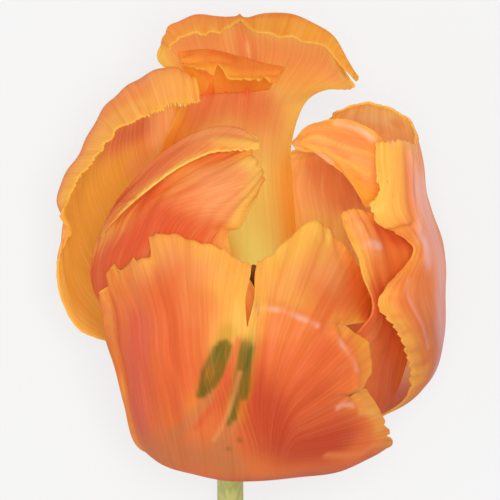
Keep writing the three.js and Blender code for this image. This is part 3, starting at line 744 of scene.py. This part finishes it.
# %% Stamens
STAMEN_COUNT = 6
STAMEN_HEIGHT = 37
STAMEN_SPREAD = 7.5
ANTHER_LENGTH = 12
ANTHER_RADIUS = 1.5
TURN_PLAY, HEIGHT_PLAY, SPREAD_PLAY = 14, 3, 2  # degrees, mm and mm
RING_RADIUS = PISTIL_RADIUS * 0.7 + 1
RING_HEIGHT = SEAT + 0.5


def seeded(seed):
    """The solids' own generator: numbers from 0 to 1."""
    state = seed
    while True:
        state = state * 16807 % 2147483647
        yield state / 2147483647


def grooved(width, turns):
    """The outline of an anther: four lobes with a groove between each two."""
    return width * (1 + 0.14 * np.cos(4 * turns))


chance = seeded(5)
bpy.ops.object.select_all(action="DESELECT")
bpy.ops.mesh.primitive_torus_add(
    major_radius=RING_RADIUS * MM, minor_radius=0.5 * MM, major_segments=48, minor_segments=12,
    location=FOOT + Vector(AXIS * RING_HEIGHT) * MM, rotation=(LEAN - math.pi / 2, 0, 0),
)
stamens = bpy.context.object
stamens.name = "flower_stamens"
for number in range(STAMEN_COUNT):
    turn = 150 - number * 360 / STAMEN_COUNT + TURN_PLAY * (next(chance) - 0.5)
    top = STAMEN_HEIGHT + HEIGHT_PLAY * (next(chance) - 1)
    spread = STAMEN_SPREAD + SPREAD_PLAY * (next(chance) - 0.5)
    path = [
        cup(turn, RING_RADIUS, RING_HEIGHT),
        cup(turn, spread * 0.62, top * 0.4),
        cup(turn, spread * 0.92, top - ANTHER_LENGTH),
        cup(turn, spread * 1.08, top),
    ]
    neck = 1 - ANTHER_LENGTH / top
    places = np.concatenate([np.linspace(0, neck, 16), np.linspace(neck + 0.01, 1, 26)])
    middles, directions = curve_points(path, places)
    rings = []
    for place, middle, direction in zip(places, middles, directions):
        share = (place - neck) / (1 - neck)
        if share <= 0:
            outline = plain(0.7 - 0.25 * place / neck)
        else:
            width = ANTHER_RADIUS * (1 - (2 * share - 1) ** 6) ** 0.5 * 0.95 + 0.1
            outline = partial(grooved, width)
        rings.append(hoop(middle, direction, 20, outline))
    stamens = join_flap(stamens, tube("stamen", rings))

# %% [markdown]
# ## Colours laid on in strokes
# A parrot petal is painted like a water-colour: a ground colour, then soft strokes that run into
# each other, one set for the outer face and one for the inner. Each stroke is a colour, a brush
# width in millimetres, a strength, and the places on its path; on a flap, the places across start
# at 200. The few colours have names, as on a palette. The strokes end up in one colour attribute.

# %% Palette
CREAM = (255, 240, 112)
PALE = (255, 228, 106)
YELLOW = (253, 206, 88)
GOLD = (238, 162, 38)
PEACH = (253, 184, 106)
APRICOT = (247, 154, 78)
ORANGE = (238, 126, 62)
CORAL = (226, 96, 54)
BRICK = (192, 66, 42)
ROSE = (226, 104, 84)
# A pale pink: once a petal tone, and otherwise laid on as painted highlight along creases, crests and
# glints.
BLUSH_AND_HIGHLIGHT = (255, 220, 206)
MAUVE = (176, 92, 84)
# A pinkish white, laid on the right petal's shell as a painted sheen.
PAINTED_SHEEN = (255, 226, 230)
TAN = (206, 134, 78)
OLIVE = (74, 100, 20)
LIME = (204, 180, 58)


# %% Strokes
def linear(red, green, blue):
    """A colour as seen (0 to 255) as the light values that the shader wants."""
    c = np.array([red, green, blue]) / 255
    return np.where(c <= 0.04045, c / 12.92, ((c + 0.055) / 1.055) ** 2.4)


BRUSH_STEPS = 8
BRUSH_FADE = 2.8  # a flat middle and a quick edge


def touched(sheets, points, across, path, width):
    """How strongly a stroke over one of the sheets touches each point: 1 on its path."""
    shift = FLAP_SHIFT if path[0] > 100 else 0
    places = np.reshape(path, (-1, 2)) - (100 * shift, 0)
    stroke = near_path(points, sheets[shift], places, width, BRUSH_STEPS, BRUSH_FADE)
    on_sheet = np.abs(across - shift - 0.5) < 1
    return (stroke * on_sheet)[:, None]


def stroked(painting, sheets, points, across):
    """The colour of each point: the ground, which comes first, under its strokes."""
    ground, *strokes = painting
    colour = np.tile(linear(*ground), (len(points), 1))
    for tone, width, strength, *path in strokes:
        share = strength * touched(sheets, points, across, path, width)
        colour = colour * (1 - share) + linear(*tone) * share
    return colour


def paint(piece, sheets, outside, inside, bare=()):
    """Keeps the strokes of both faces in the colour attribute tint. Its fourth value is how yellow
    the margin is; the bare strokes, of both faces, take the yellow away."""
    points, across = read_points(piece), kept_numbers(piece, "across")
    face = kept_numbers(piece, "face")[:, None]
    outer = stroked(outside, sheets, points, across)
    colour = face * outer + (1 - face) * stroked(inside, sheets, points, across)
    rim = np.ones((len(colour), 1))
    for width, strength, *path in bare:
        rim *= 1 - strength * touched(sheets, points, across, path, width)
    tint = piece.data.color_attributes.new("tint", "FLOAT_COLOR", "POINT")
    tint.data.foreach_set("color", np.hstack([colour, rim]).ravel())
    print(piece.name, "painted, mean tone", np.round(colour.mean(0), 2))


# %% [markdown]
# ## The skin of a petal
# A petal is thin wet tissue: light passes through it, it has a satin gloss, and fine veins run
# from the claw to the rim. So the skin mixes a Principled shader with a Translucent one. The veins
# are noise that is stretched along the petal, by the kept numbers of the vein and along, and the
# yellow margin follows the kept distance from the torn edge.

# %% A skin in the making
class Skin:
    """A material to which each method adds a node, whose output it gives."""

    def __init__(self, name):
        self.material = bpy.data.materials.new(name)
        self.material.use_nodes = True
        self.nodes = self.material.node_tree.nodes
        self.gloss = self.nodes["Principled BSDF"]

    def feed(self, socket, value):
        """Links an output to a socket, or sets it to a number or a colour."""
        if isinstance(value, bpy.types.NodeSocket):
            self.material.node_tree.links.new(value, socket)
        elif isinstance(value, tuple) and socket.type == "RGBA":
            socket.default_value = (*linear(*value), 1)
        else:
            socket.default_value = value

    def node(self, kind, **values):
        """Adds a node; each value is one of its settings or goes to the socket of that name."""
        made = self.nodes.new("ShaderNode" + kind)
        for key, value in values.items():
            if hasattr(made, key):
                setattr(made, key, value)
            else:
                self.feed(made.inputs[key.replace("_", " ")], value)
        return made

    def kept(self, label):
        return self.node("Attribute", attribute_type="GEOMETRY", attribute_name=label).outputs

    def maths(self, operation, first, second, clamp=False):
        made = self.node("Math", operation=operation, use_clamp=clamp)
        self.feed(made.inputs[0], first)
        self.feed(made.inputs[1], second)
        return made.outputs[0]

    def times(self, first, second):
        return self.maths("MULTIPLY", first, second)

    def mapped(self, value, low, high, to_low=0.0, to_high=1.0):
        made = self.node(
            "MapRange", interpolation_type="SMOOTHSTEP", Value=value, From_Min=low, From_Max=high,
            To_Min=to_low, To_Max=to_high,
        )
        return made.outputs[0]

    def mixed(self, factor, first, second, blend="MIX"):
        made = self.node("Mix", data_type="RGBA", blend_type=blend)
        colours = [socket for socket in made.inputs if socket.type == "RGBA"]
        for socket, value in zip((made.inputs[0], *colours), (factor, first, second)):
            self.feed(socket, value)
        return next(socket for socket in made.outputs if socket.type == "RGBA")

    def veins(self, across_count, along_count, detail, seed):
        """Noise that is fine across the petal and long along it."""
        across = self.times(self.kept("vein")["Fac"], across_count)
        along = self.times(self.kept("along")["Fac"], along_count)
        place = self.node("CombineXYZ", X=across, Y=along, Z=seed)
        noise = self.node("TexNoise", Scale=1, Detail=detail, Roughness=0.6, Vector=place.outputs[0])
        return noise.outputs["Fac"]

    def finish_gloss(self, colour, roughness, relief, strength, distance):
        """Gives the glossy shader its colour and its bumps."""
        bump = self.node("Bump", Strength=strength, Distance=distance, Height=relief)
        for socket, value in (
            ("Base Color", colour), ("Roughness", roughness), ("Normal", bump.outputs[0])
        ):
            self.feed(self.gloss.inputs[socket], value)


# %% Petal skin
LIFT = 0.86  # light is lost between the two faces of the sheet, so the paint is laid on lighter
BOTH_FACES = 0.5  # light crosses two faces, so each takes the square root of the colour
DARK_VEIN = (240, 206, 196)
PALE_BETWEEN = (255, 212, 150)
BROAD_BAND = (240, 198, 180)


def petal_skin(
    name, veins, seed, margin=YELLOW, line=0.55, wash=6.0, see_through=0.62, stripes=0.13
):
    """veins is how many fine veins cross the petal, and stripes how pale the skin is between them.
    line and wash are the widths, in mm, of the yellow line on the torn margin and of the soft
    yellow that runs in from it."""
    skin = Skin(name)
    tint, edge = skin.kept("tint"), skin.kept("edge")["Fac"]
    above_claw = skin.mapped(skin.kept("along")["Fac"], 0.22, 0.42)

    patches = skin.veins(veins * 0.3, 9, 2, seed + 3)
    soft = skin.times(skin.mapped(edge, wash, 0.0), skin.mapped(patches, 0.3, 0.7, 0.15, 0.75))
    lift = skin.node("Gamma", Gamma=LIFT, Color=tint["Color"])
    colour = skin.mixed(skin.times(soft, tint["Alpha"]), lift.outputs[0], margin)

    fine = skin.veins(veins, 3.5, 4, seed)
    broad = skin.veins(veins * 0.3, 2.5, 2, seed + 7)
    dark = skin.times(skin.mapped(fine, 0.4, 0.66), skin.times(above_claw, 0.4))
    colour = skin.mixed(dark, colour, DARK_VEIN, "MULTIPLY")
    pale = skin.times(skin.mapped(fine, 0.5, 0.3), skin.times(above_claw, stripes))
    colour = skin.mixed(pale, colour, PALE_BETWEEN)
    band = skin.mapped(broad, 0.5, 0.75, 0.0, 0.35)
    colour = skin.mixed(band, colour, BROAD_BAND, "MULTIPLY")

    reach = skin.times(skin.mapped(patches, 0.25, 0.75, 0.35, 1.0), line)
    near = skin.maths("SUBTRACT", 1.0, skin.maths("DIVIDE", edge, reach), clamp=True)
    thread = skin.times(skin.mapped(near, 0.0, 1.0, 0.0, 0.75), tint["Alpha"])
    colour = skin.mixed(thread, colour, margin)

    place = skin.node("TexCoord").outputs["Object"]
    grain = skin.node("TexNoise", Scale=900.0, Detail=3.0, Vector=place).outputs["Fac"]
    relief = skin.maths("ADD", fine, skin.times(grain, 0.25))
    skin.finish_gloss(colour, 0.45, relief, 0.35, 0.0002)
    skin.gloss.inputs["Specular IOR Level"].default_value = 0.2

    thin = skin.node("Gamma", Gamma=BOTH_FACES, Color=colour)
    through = skin.node("BsdfTranslucent", Color=thin.outputs[0])
    both = skin.node("MixShader", Fac=see_through)
    skin.feed(both.inputs[1], skin.gloss.outputs[0])
    skin.feed(both.inputs[2], through.outputs[0])
    skin.feed(skin.nodes["Material Output"].inputs["Surface"], both.outputs[0])
    return skin.material


# %% [markdown]
# ## Painting the six petals
# The outer faces are orange and coral with yellow margins, the inner faces golden. The front petal
# has two green flames under its notch, made of thin strokes like fibres, and the right petal has a
# painted pink sheen on its shell, a reflection laid into the colour. Pale strokes of painted highlight
# run along creases and crests, and a few dark strokes are painted shadow under the right petal's
# flap. Each list starts with its ground colour and is painted in order.

# %% Paint the front petal
FRONT_OUTSIDE = [
    ORANGE,
    (TAN, 6, 0.8, 10, 30, 24, 33, 35, 33),
    (PEACH, 5.5, 0.85, 22, 93, 31, 96, 43, 92),
    (YELLOW, 3, 0.7, 38, 97, 47, 93, 47, 86),
    (APRICOT, 4, 0.6, 10, 90, 15, 80, 17, 74),
    (ROSE, 5, 0.8, 15, 72, 12, 58, 11, 46, 8, 36),
    (TAN, 1.6, 0.6, 1, 90, 3, 70, 1, 55),
    (CORAL, 6, 0.4, 25, 86, 26, 72, 25, 60, 22, 50),
    (PEACH, 3, 0.4, 33, 86, 34, 76),
    (YELLOW, 5, 0.95, 43, 86, 46, 78, 44, 69),
    (PALE, 2, 0.8, 48, 80, 48, 70),
    (YELLOW, 2, 0.9, 52, 80, 52, 72),
    (ORANGE, 4, 0.5, 36, 80, 34, 66),
    (YELLOW, 4.5, 0.7, 56, 89, 60, 86, 66, 84),
    (PEACH, 6, 0.8, 58, 93, 68, 93, 80, 90),
    (YELLOW, 4.5, 0.8, 56, 96, 66, 97, 76, 96),
    (PALE, 2.5, 0.8, 60, 98, 70, 99, 80, 98),
    (CORAL, 4, 0.3, 90, 93, 88, 86, 80, 83, 72, 84),
    (APRICOT, 3, 0.6, 56, 74, 63, 72, 70, 71),
    (CORAL, 5, 0.5, 75, 68, 72, 60, 66, 58),
    # Down to the mauve, these strokes darken the lower petal towards its foot: partly the petal's own
    # brick and rose, partly painted shade.
    (BRICK, 7.5, 0.95, 50, 53, 54, 47, 56, 40, 62, 36, 70, 36),
    (BRICK, 5, 0.5, 68, 50, 70, 42, 76, 38),
    (ROSE, 7, 0.7, 45, 12, 60, 12, 80, 12),
    (ROSE, 7, 0.6, 38, 18, 55, 19, 70, 20, 86, 20),
    (MAUVE, 4.6, 0.5, 40, 24, 55, 25, 68, 26, 82, 25, 94, 28),
    (TAN, 2.6, 0.7, 38, 38, 39, 30),
    (GOLD, 2.4, 0.75, 95, 76, 96, 72, 95, 66),
    (YELLOW, 3, 0.8, 93, 51, 96, 46, 97, 41),
    (APRICOT, 1, 0.8, 70, 33, 82, 31, 93, 34),
    (GOLD, 2.4, 0.6, 43, 66, 39, 60, 35, 55, 30, 48),
    (GOLD, 2.2, 0.6, 50, 66, 49, 56, 44, 47),
    (TAN, 1.6, 0.8, 35, 52, 28, 44, 20, 37),
    (TAN, 1.8, 0.85, 41, 44, 37, 39, 35, 34),
    (LIME, 2.2, 0.85, 44, 71, 42, 66),
    (LIME, 1.8, 0.9, 50.5, 72.5, 50.5, 66),
    (OLIVE, 0.85, 0.92, 40.2, 67, 35.2, 60, 31.8, 52),
    (OLIVE, 0.8, 0.92, 41.8, 68.2, 37.5, 60, 33, 52.5),
    (OLIVE, 0.8, 0.92, 43.6, 68.5, 39.5, 60, 35, 54),
    (OLIVE, 0.8, 0.92, 45, 67.5, 41.5, 60, 37.5, 56),
    (OLIVE, 0.8, 0.92, 48.8, 68, 47.8, 62, 46.5, 55, 43, 49, 40, 44.5),
    (OLIVE, 0.85, 0.92, 50.4, 68.5, 49.7, 62, 48.5, 55, 45.5, 50, 42.5, 46),
    (OLIVE, 0.8, 0.9, 51.7, 67, 51, 62, 50.3, 54.5, 49, 52),
    (OLIVE, 0.6, 0.6, 43, 40, 43, 39.5),
    (OLIVE, 0.7, 0.5, 39, 37, 39, 36.5),
    (CORAL, 0.8, 0.85, 47.5, 69, 45.5, 63, 41.5, 56.5, 35.5, 49.5, 29, 42),
    (PEACH, 0.6, 0.6, 48, 60, 46, 54, 39, 45.5, 34.5, 39),
    (PALE, 1.5, 0.8, 50, 75, 50, 72),
    # painted highlights: pale lines along the crease over the right lobe and along the small lobe's arc,
    # a glint on the lowest lobe and a light line along its fold
    (BLUSH_AND_HIGHLIGHT, 0.65, 0.9, 53.4, 78.8, 60, 78.3, 66.5, 76.5, 73.1, 75),
    (BLUSH_AND_HIGHLIGHT, 0.6, 0.8, 83.4, 73.1, 87, 69, 90, 63.5, 90.5, 58, 87, 53),
    (BLUSH_AND_HIGHLIGHT, 0.6, 0.55, 77, 46, 80, 46.8, 84, 46),
    (PALE, 0.8, 0.5, 86, 44, 95, 43),
]
FRONT_INSIDE = [GOLD, (YELLOW, 9, 0.7, 50, 30, 50, 15), (APRICOT, 9, 0.6, 20, 60, 80, 60)]
FRONT_BARE = [(3, 1, 92, 93, 96, 87, 99, 80), (2.5, 0.8, 0, 80, 0, 65, 0, 50)]
paint(front, {0: FRONT}, FRONT_OUTSIDE, FRONT_INSIDE, FRONT_BARE)

# %% Paint the right petal
RIGHT_OUTSIDE = [
    APRICOT,
    (TAN, 9, 0.7, 20, 20, 70, 20),
    (PALE, 4, 0.95, 5, 96, 5, 88, 7, 80),
    (YELLOW, 2.6, 0.7, 15, 98, 16, 88, 14, 80),
    (CREAM, 2.6, 0.7, 3, 96, 4, 88, 5, 82),
    # painted shadow: a coral band under the flap's lower edge
    (CORAL, 1.7, 0.95, 0, 73, 10, 73, 19, 73),
    (PEACH, 2.6, 0.6, 20, 62, 21, 54, 17, 46),
    # painted shadow: a thin brick line just under the flap's edge
    (BRICK, 0.5, 0.6, 0, 76.3, 8, 76, 17, 75.7),
    (ORANGE, 2.4, 0.6, 50, 95, 45, 88, 42, 80),
    (PEACH, 8, 0.7, 50, 95, 55, 70, 55, 40, 45, 20),
    # painted sheen: this wide pale pink and the next two narrower strokes lie along the shell's outer
    # side as a pink reflection
    (BLUSH_AND_HIGHLIGHT, 6, 0.55, 36, 97, 40, 86, 45, 70, 43, 50, 38, 30, 35, 20),
    (PAINTED_SHEEN, 2.4, 0.9, 32, 86, 30, 78, 24, 73, 27, 67),
    (PAINTED_SHEEN, 4.6, 0.92, 42, 84, 39, 70, 36, 57, 32, 46, 30, 30, 30, 20),
    # painted shade: a short dark line in the pinch under the flap
    (CORAL, 1.2, 0.8, 15, 70, 16, 69),
    (YELLOW, 2.6, 0.75, 2, 60, 5, 56, 6, 50, 7, 44, 8, 38),
    (ORANGE, 2.2, 0.8, 14, 65, 16, 58, 15, 50, 12, 42),
    (ORANGE, 0.7, 0.7, 6, 60, 10, 60),
    (ORANGE, 0.7, 0.7, 5, 55, 11, 55),
    (ORANGE, 0.7, 0.7, 5, 50, 10, 51),
    (ORANGE, 0.6, 0.7, 5, 45, 10, 46),
    (CORAL, 1.4, 0.5, 23, 65, 22, 57, 19, 49),
    # painted highlights: a soft streak down the lower lobe, a pale line along the crest of the fold and
    # one along the flap's top
    (BLUSH_AND_HIGHLIGHT, 0.5, 0.5, 16, 63, 18.5, 57, 19, 51, 17, 45),
    (BLUSH_AND_HIGHLIGHT, 0.9, 1.0, 27, 97, 26, 91, 25, 86, 25.6, 79, 23, 74.5),
    (BLUSH_AND_HIGHLIGHT, 0.8, 0.6, 10, 99.5, 30, 99.5),
    (PEACH, 4, 0.8, 250, 90, 255, 60, 265, 40),
    (ORANGE, 2.4, 0.6, 235, 55, 230, 40, 225, 30),
    (ORANGE, 0.6, 0.7, 230, 90, 233, 60),
    (CORAL, 0.8, 0.55, 250, 92, 255, 70, 260, 50),
    (YELLOW, 0.6, 0.8, 260, 90, 268, 60, 266, 35),
    (ORANGE, 0.6, 0.8, 280, 88, 280, 60, 276, 40),
    (YELLOW, 0.5, 0.8, 240, 80, 245, 50, 242, 30),
    (GOLD, 0.8, 0.6, 296, 85, 296, 60, 295, 40),
    # painted highlight along the tongue's crease
    (BLUSH_AND_HIGHLIGHT, 0.7, 1.0, 210, 58, 211, 47, 214, 34),
    (GOLD, 1.5, 0.9, 288, 49, 286, 40, 290, 30),
    (CORAL, 0.5, 0.6, 280, 45, 275, 35),
    # painted highlights near the tongue's tip
    (BLUSH_AND_HIGHLIGHT, 0.8, 0.9, 250, 99, 260, 97),
    (BLUSH_AND_HIGHLIGHT, 0.8, 0.9, 295, 80, 295, 70),
]
RIGHT_INSIDE = [
    PEACH,
    # The brick and coral low on the inside are partly the petal's own deep red and partly painted shade
    # of the deep recess between the petals.
    (BRICK, 8, 1.0, 20, 46, 20, 38, 20, 30, 25, 20),
    (BRICK, 5, 0.8, 12, 42, 16, 34),
    (CORAL, 7, 1.0, 60, 20, 68, 25, 75, 28),
    (ORANGE, 6, 1.0, 92, 72, 90, 65, 88, 57),
    (CORAL, 2.4, 0.9, 88, 70, 87, 63, 85, 57),
    (PEACH, 2, 0.9, 96, 68, 96, 63),
    (YELLOW, 4, 0.8, 95, 50, 90, 47),
    (CREAM, 4, 0.9, 90, 96, 82, 95, 72, 96),
    (BLUSH_AND_HIGHLIGHT, 4, 0.35, 90, 96, 82, 95, 72, 96),
    (CORAL, 1.6, 0.6, 69, 95, 66, 97),
]
paint(right, {0: RIGHT, FLAP_SHIFT: TONGUE}, RIGHT_OUTSIDE, RIGHT_INSIDE)

# %% Paint the left petal
LEFT_OUTSIDE = [
    PEACH,
    (TAN, 9, 0.7, 20, 20, 70, 20),
    (ROSE, 2.5, 0.35, 10, 84, 25, 88, 45, 87, 70, 87),
    (YELLOW, 2.2, 0.7, 10, 95, 30, 95, 50, 95, 70, 95),
    (APRICOT, 2, 0.6, 50, 92, 70, 93),
    (YELLOW, 3, 0.6, 80, 93, 95, 95),
    (YELLOW, 1.8, 0.8, 5, 99, 30, 99, 60, 99, 90, 99),
]
LEFT_INSIDE = [
    GOLD,
    (YELLOW, 10, 0.6, 50, 30, 60, 20),
    (CORAL, 6, 1.0, 58, 68, 76, 67),
    (BRICK, 3, 0.4, 66, 66, 74, 66),
    (ORANGE, 3, 0.7, 66, 58, 76, 62),
    (PEACH, 3, 0.85, 84, 68, 82, 62),
    (YELLOW, 2.2, 0.5, 2, 72, 2, 60, 4, 50),
]
paint(left, {0: LEFT}, LEFT_OUTSIDE, LEFT_INSIDE)

# %% Paint the inner left petal
INNER_LEFT_OUTSIDE = [
    ORANGE,
    (PEACH, 4, 0.9, 5, 40, 5, 30),
    (CORAL, 6, 0.85, 72, 36, 72, 45, 65, 52, 60, 58),
    (CORAL, 3.6, 0.8, 52, 48, 42, 55, 28, 57, 14, 58),
    (APRICOT, 4, 0.7, 50, 68, 40, 66, 30, 64),
    (PEACH, 5.5, 0.9, 36, 79, 30, 74, 20, 69),
    (PEACH, 2.5, 0.5, 50, 74, 45, 84),
    (PALE, 3.2, 0.95, 35, 90, 25, 90, 14, 86, 6, 76, 2, 66),
]
INNER_LEFT_INSIDE = [
    CORAL,
    (YELLOW, 9, 0.7, 50, 20, 50, 10),
    (PEACH, 4, 0.9, 5, 40, 5, 30),
    (APRICOT, 4, 0.8, 82, 66, 84, 74, 86, 82),
    (PEACH, 1.6, 0.8, 97, 64, 99, 70, 99, 78),
    (PEACH, 5, 0.95, 86, 82, 88, 90, 90, 98),
    (PALE, 1.6, 0.8, 93, 84, 95, 90, 95, 97),
]
paint(inner_left, {0: INNER_LEFT}, INNER_LEFT_OUTSIDE, INNER_LEFT_INSIDE)

# %% Paint the inner right petal
INNER_RIGHT_OUTSIDE = [
    APRICOT,
    (PEACH, 3.5, 0.85, 20, 93, 30, 90, 35, 84),
    (ORANGE, 3.5, 0.7, 45, 82, 50, 72),
    # The brick zone low on the petal is partly its own deep red and partly painted shade of its recess
    # behind the right petal's lower lobe.
    (BRICK, 6.5, 0.8, 25, 66, 40, 57, 50, 48, 50, 40),
    # painted shadow of the right petal's flap, a dark coral band across the top of this petal
    (CORAL, 2.2, 0.9, 50, 92, 60, 88, 70, 84, 80, 80),
    (YELLOW, 1.8, 0.95, 0, 90, 0, 83, 5, 77, 6, 72),
    (CORAL, 1.6, 0.9, 0, 66, 2, 60, 5, 50),
    # painted highlight: a short pale line near the top
    (BLUSH_AND_HIGHLIGHT, 1, 1.0, 26, 83, 38, 82),
]
INNER_RIGHT_BARE = [(2.6, 1, 0, 67, 0, 60, 0, 50, 0, 40)]
paint(inner_right, {0: INNER_RIGHT}, INNER_RIGHT_OUTSIDE, [GOLD], INNER_RIGHT_BARE)

# %% Paint the back petal
BACK_OUTSIDE = [
    APRICOT,
    (PALE, 10, 0.9, 50, 40, 50, 25, 50, 10),
    (PEACH, 3, 0.9, 10, 95, 25, 96, 45, 97),
    (YELLOW, 3, 0.9, 55, 97, 70, 96, 85, 96, 97, 96),
    (PEACH, 6, 0.95, 210, 60, 250, 50, 280, 60),
    (ORANGE, 1.8, 0.6, 240, 60, 255, 62),
    (YELLOW, 1.8, 0.8, 210, 98, 240, 98, 280, 98),
]
BACK_INSIDE = [
    YELLOW,
    (ORANGE, 6, 0.9, 20, 60, 45, 62, 60, 58, 70, 52),
    (CORAL, 4.5, 0.8, 15, 62, 42, 64, 58, 62),
    (APRICOT, 4, 0.9, 20, 79, 40, 80),
    (APRICOT, 5, 0.9, 56, 78, 80, 76, 90, 80),
    (GOLD, 4, 0.5, 60, 74, 75, 72, 85, 74),
    (YELLOW, 5, 0.7, 60, 46, 72, 50),
    (ORANGE, 3.5, 0.75, 20, 83, 35, 83),
    (ORANGE, 4.5, 0.6, 56, 80, 70, 79, 80, 81),
    (YELLOW, 7, 0.95, 45, 40, 60, 42, 74, 36),
    (CREAM, 5, 0.95, 30, 36, 40, 33, 60, 30),
    (PEACH, 1.6, 0.8, 15, 72, 28, 71),
    (CORAL, 2.4, 0.8, 50, 90, 50, 80, 53, 70),
    (PEACH, 0.5, 0.8, 51.5, 84, 51.5, 76),
]
paint(back, {0: BACK, FLAP_SHIFT: FLAP}, BACK_OUTSIDE, BACK_INSIDE)

# %% Put the skins on
for seed, (piece, name, veins, settings) in enumerate((
    (front, "front", 190, {}),
    (right, "right", 130, {"stripes": 0.25}),
    (left, "left", 170, {"line": 0.6, "wash": 4, "stripes": 0.3}),
    (inner_left, "inner_left", 170, {"margin": PALE, "line": 0.6, "wash": 5, "stripes": 0.42}),
    (inner_right, "inner_right", 90, {"line": 0.3, "wash": 2}),
    (back, "back", 120, {"line": 0.6, "wash": 4, "see_through": 0.82, "stripes": 0.2}),
), start=1):
    piece.data.materials.append(petal_skin(name + "_petal_skin", veins, seed, **settings))
    print(name, "petal:", veins, "veins across")

# %% [markdown]
# ## Stem, pistil and stamens
# Plain plant green with fine long fibres for the stem, a yellower green for the pistil, and nearly
# black, dusty anthers.

# %% Green and dark skins
def plant_skin(name, first, second, scale, roughness):
    """Two close colours in a noise that the scale stretches."""
    skin = Skin(name)
    place = skin.node("TexCoord").outputs["Object"]
    spread = skin.node("Mapping", Vector=place, Scale=scale).outputs[0]
    noise = skin.node("TexNoise", Scale=1.0, Detail=4.0, Vector=spread).outputs["Fac"]
    colour = skin.mixed(skin.mapped(noise, 0.35, 0.65), first, second)
    skin.finish_gloss(colour, roughness, noise, 0.4, 0.0001)
    return skin.material


for piece, name, first, second, scale, roughness in (
    (stem, "stem_skin", (152, 156, 84), (174, 172, 100), (1600, 60, 1600), 0.5),
    (pistil, "pistil_skin", (196, 200, 120), (214, 208, 130), (900, 200, 900), 0.5),
    (stamens, "stamen_skin", (104, 66, 34), (128, 88, 44), (2500, 2500, 2500), 0.9),
):
    piece.data.materials.append(plant_skin(name, first, second, scale, roughness))
    print(piece.name, "has", name)

# %% [markdown]
# ## One finished piece for each solid
# Every piece rides on the flower's only body and replaces the plain solid of the same form.

# %% Ride and replace
for piece, cad_node, slot in (
    (stem, "stem", "stem"),
    (pistil, "pistil", "pistil"),
    (stamens, "stamens", "stamens"),
    (front, "tepal_outer_front", "outer_front"),
    (right, "tepal_outer_right", "outer_right"),
    (left, "tepal_outer_left", "outer_left"),
    (inner_left, "tepal_inner_front_left", "inner_front_left"),
    (inner_right, "tepal_inner_front_right", "inner_front_right"),
    (back, "tepal_inner_back", "inner_back"),
):
    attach(piece, "root")
    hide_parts(cad_node)
    print(piece.name, "replaces", cad_node)

# %% [markdown]
# ## Floor, light and camera
# A pale floor that glows a little keeps the picture high and soft. The camera looks straight down
# on the flower, which lies with its axis towards the top of the picture.

# %% Floor
FLOOR_SIZE = 6
FLOOR_DROP = 0.0002  # just below the flower, so that the two never share a plane
FLOOR_GLOW = 0.728
bpy.ops.object.select_all(action="DESELECT")
bpy.ops.mesh.primitive_plane_add(size=FLOOR_SIZE, location=(0, 0, -FLOOR_DROP))
floor = bpy.context.object
floor.name = "floor"
pale = bpy.data.materials.new("pale_floor")
pale.use_nodes = True
pale_gloss = pale.node_tree.nodes["Principled BSDF"]
pale_gloss.inputs["Base Color"].default_value = (0.12, 0.12, 0.12, 1)
pale_gloss.inputs["Roughness"].default_value = 0.9
pale_gloss.inputs["Emission Color"].default_value = (1, 1, 1, 1)
pale_gloss.inputs["Emission Strength"].default_value = FLOOR_GLOW
floor.data.materials.append(pale)

# %% Light
ROOM_LIGHT = 0.62
world = bpy.data.worlds.new("soft_room")
bpy.context.scene.world = world
world.use_nodes = True
room = world.node_tree.nodes["Background"]
room.inputs["Color"].default_value = (1, 1, 1, 1)
room.inputs["Strength"].default_value = ROOM_LIGHT


def soft_box(name, place, target, size, power):
    data = bpy.data.lights.new(name, "AREA")
    data.shape = "SQUARE"
    data.size = size
    data.energy = power
    lamp = bpy.data.objects.new(name, data)
    bpy.context.scene.collection.objects.link(lamp)
    lamp.location = place
    lamp.rotation_euler = (Vector(target) - Vector(place)).to_track_quat("-Z", "Y").to_euler()


head = FOOT + Vector((0, 0.035, 0.02))
soft_box("key", head + Vector((0.06, 0.02, 0.85)), head, 0.3, 6)
soft_box("fill", head + Vector((-0.6, -0.2, 0.5)), head, 0.7, 1.5)
print("lights aimed at", [round(x, 4) for x in head])

# %% Show colours as they are
# The plain transform keeps a petal's orange as strong as its material says.
bpy.context.scene.view_settings.view_transform = "Standard"

# %% Camera
VIEW_DISTANCE = 0.8
VIEW_WIDTH = 0.110  # what the picture's side covers at the foot's height
camera_data = bpy.data.cameras.new("camera")
camera = bpy.data.objects.new("camera", camera_data)
bpy.context.scene.collection.objects.link(camera)
camera.location = FOOT + Vector((0.0044, 0.03674, VIEW_DISTANCE))
camera_data.sensor_width = 36
camera_data.lens = camera_data.sensor_width * VIEW_DISTANCE / VIEW_WIDTH
camera_data.clip_start, camera_data.clip_end = 0.01, 20
bpy.context.scene.camera = camera
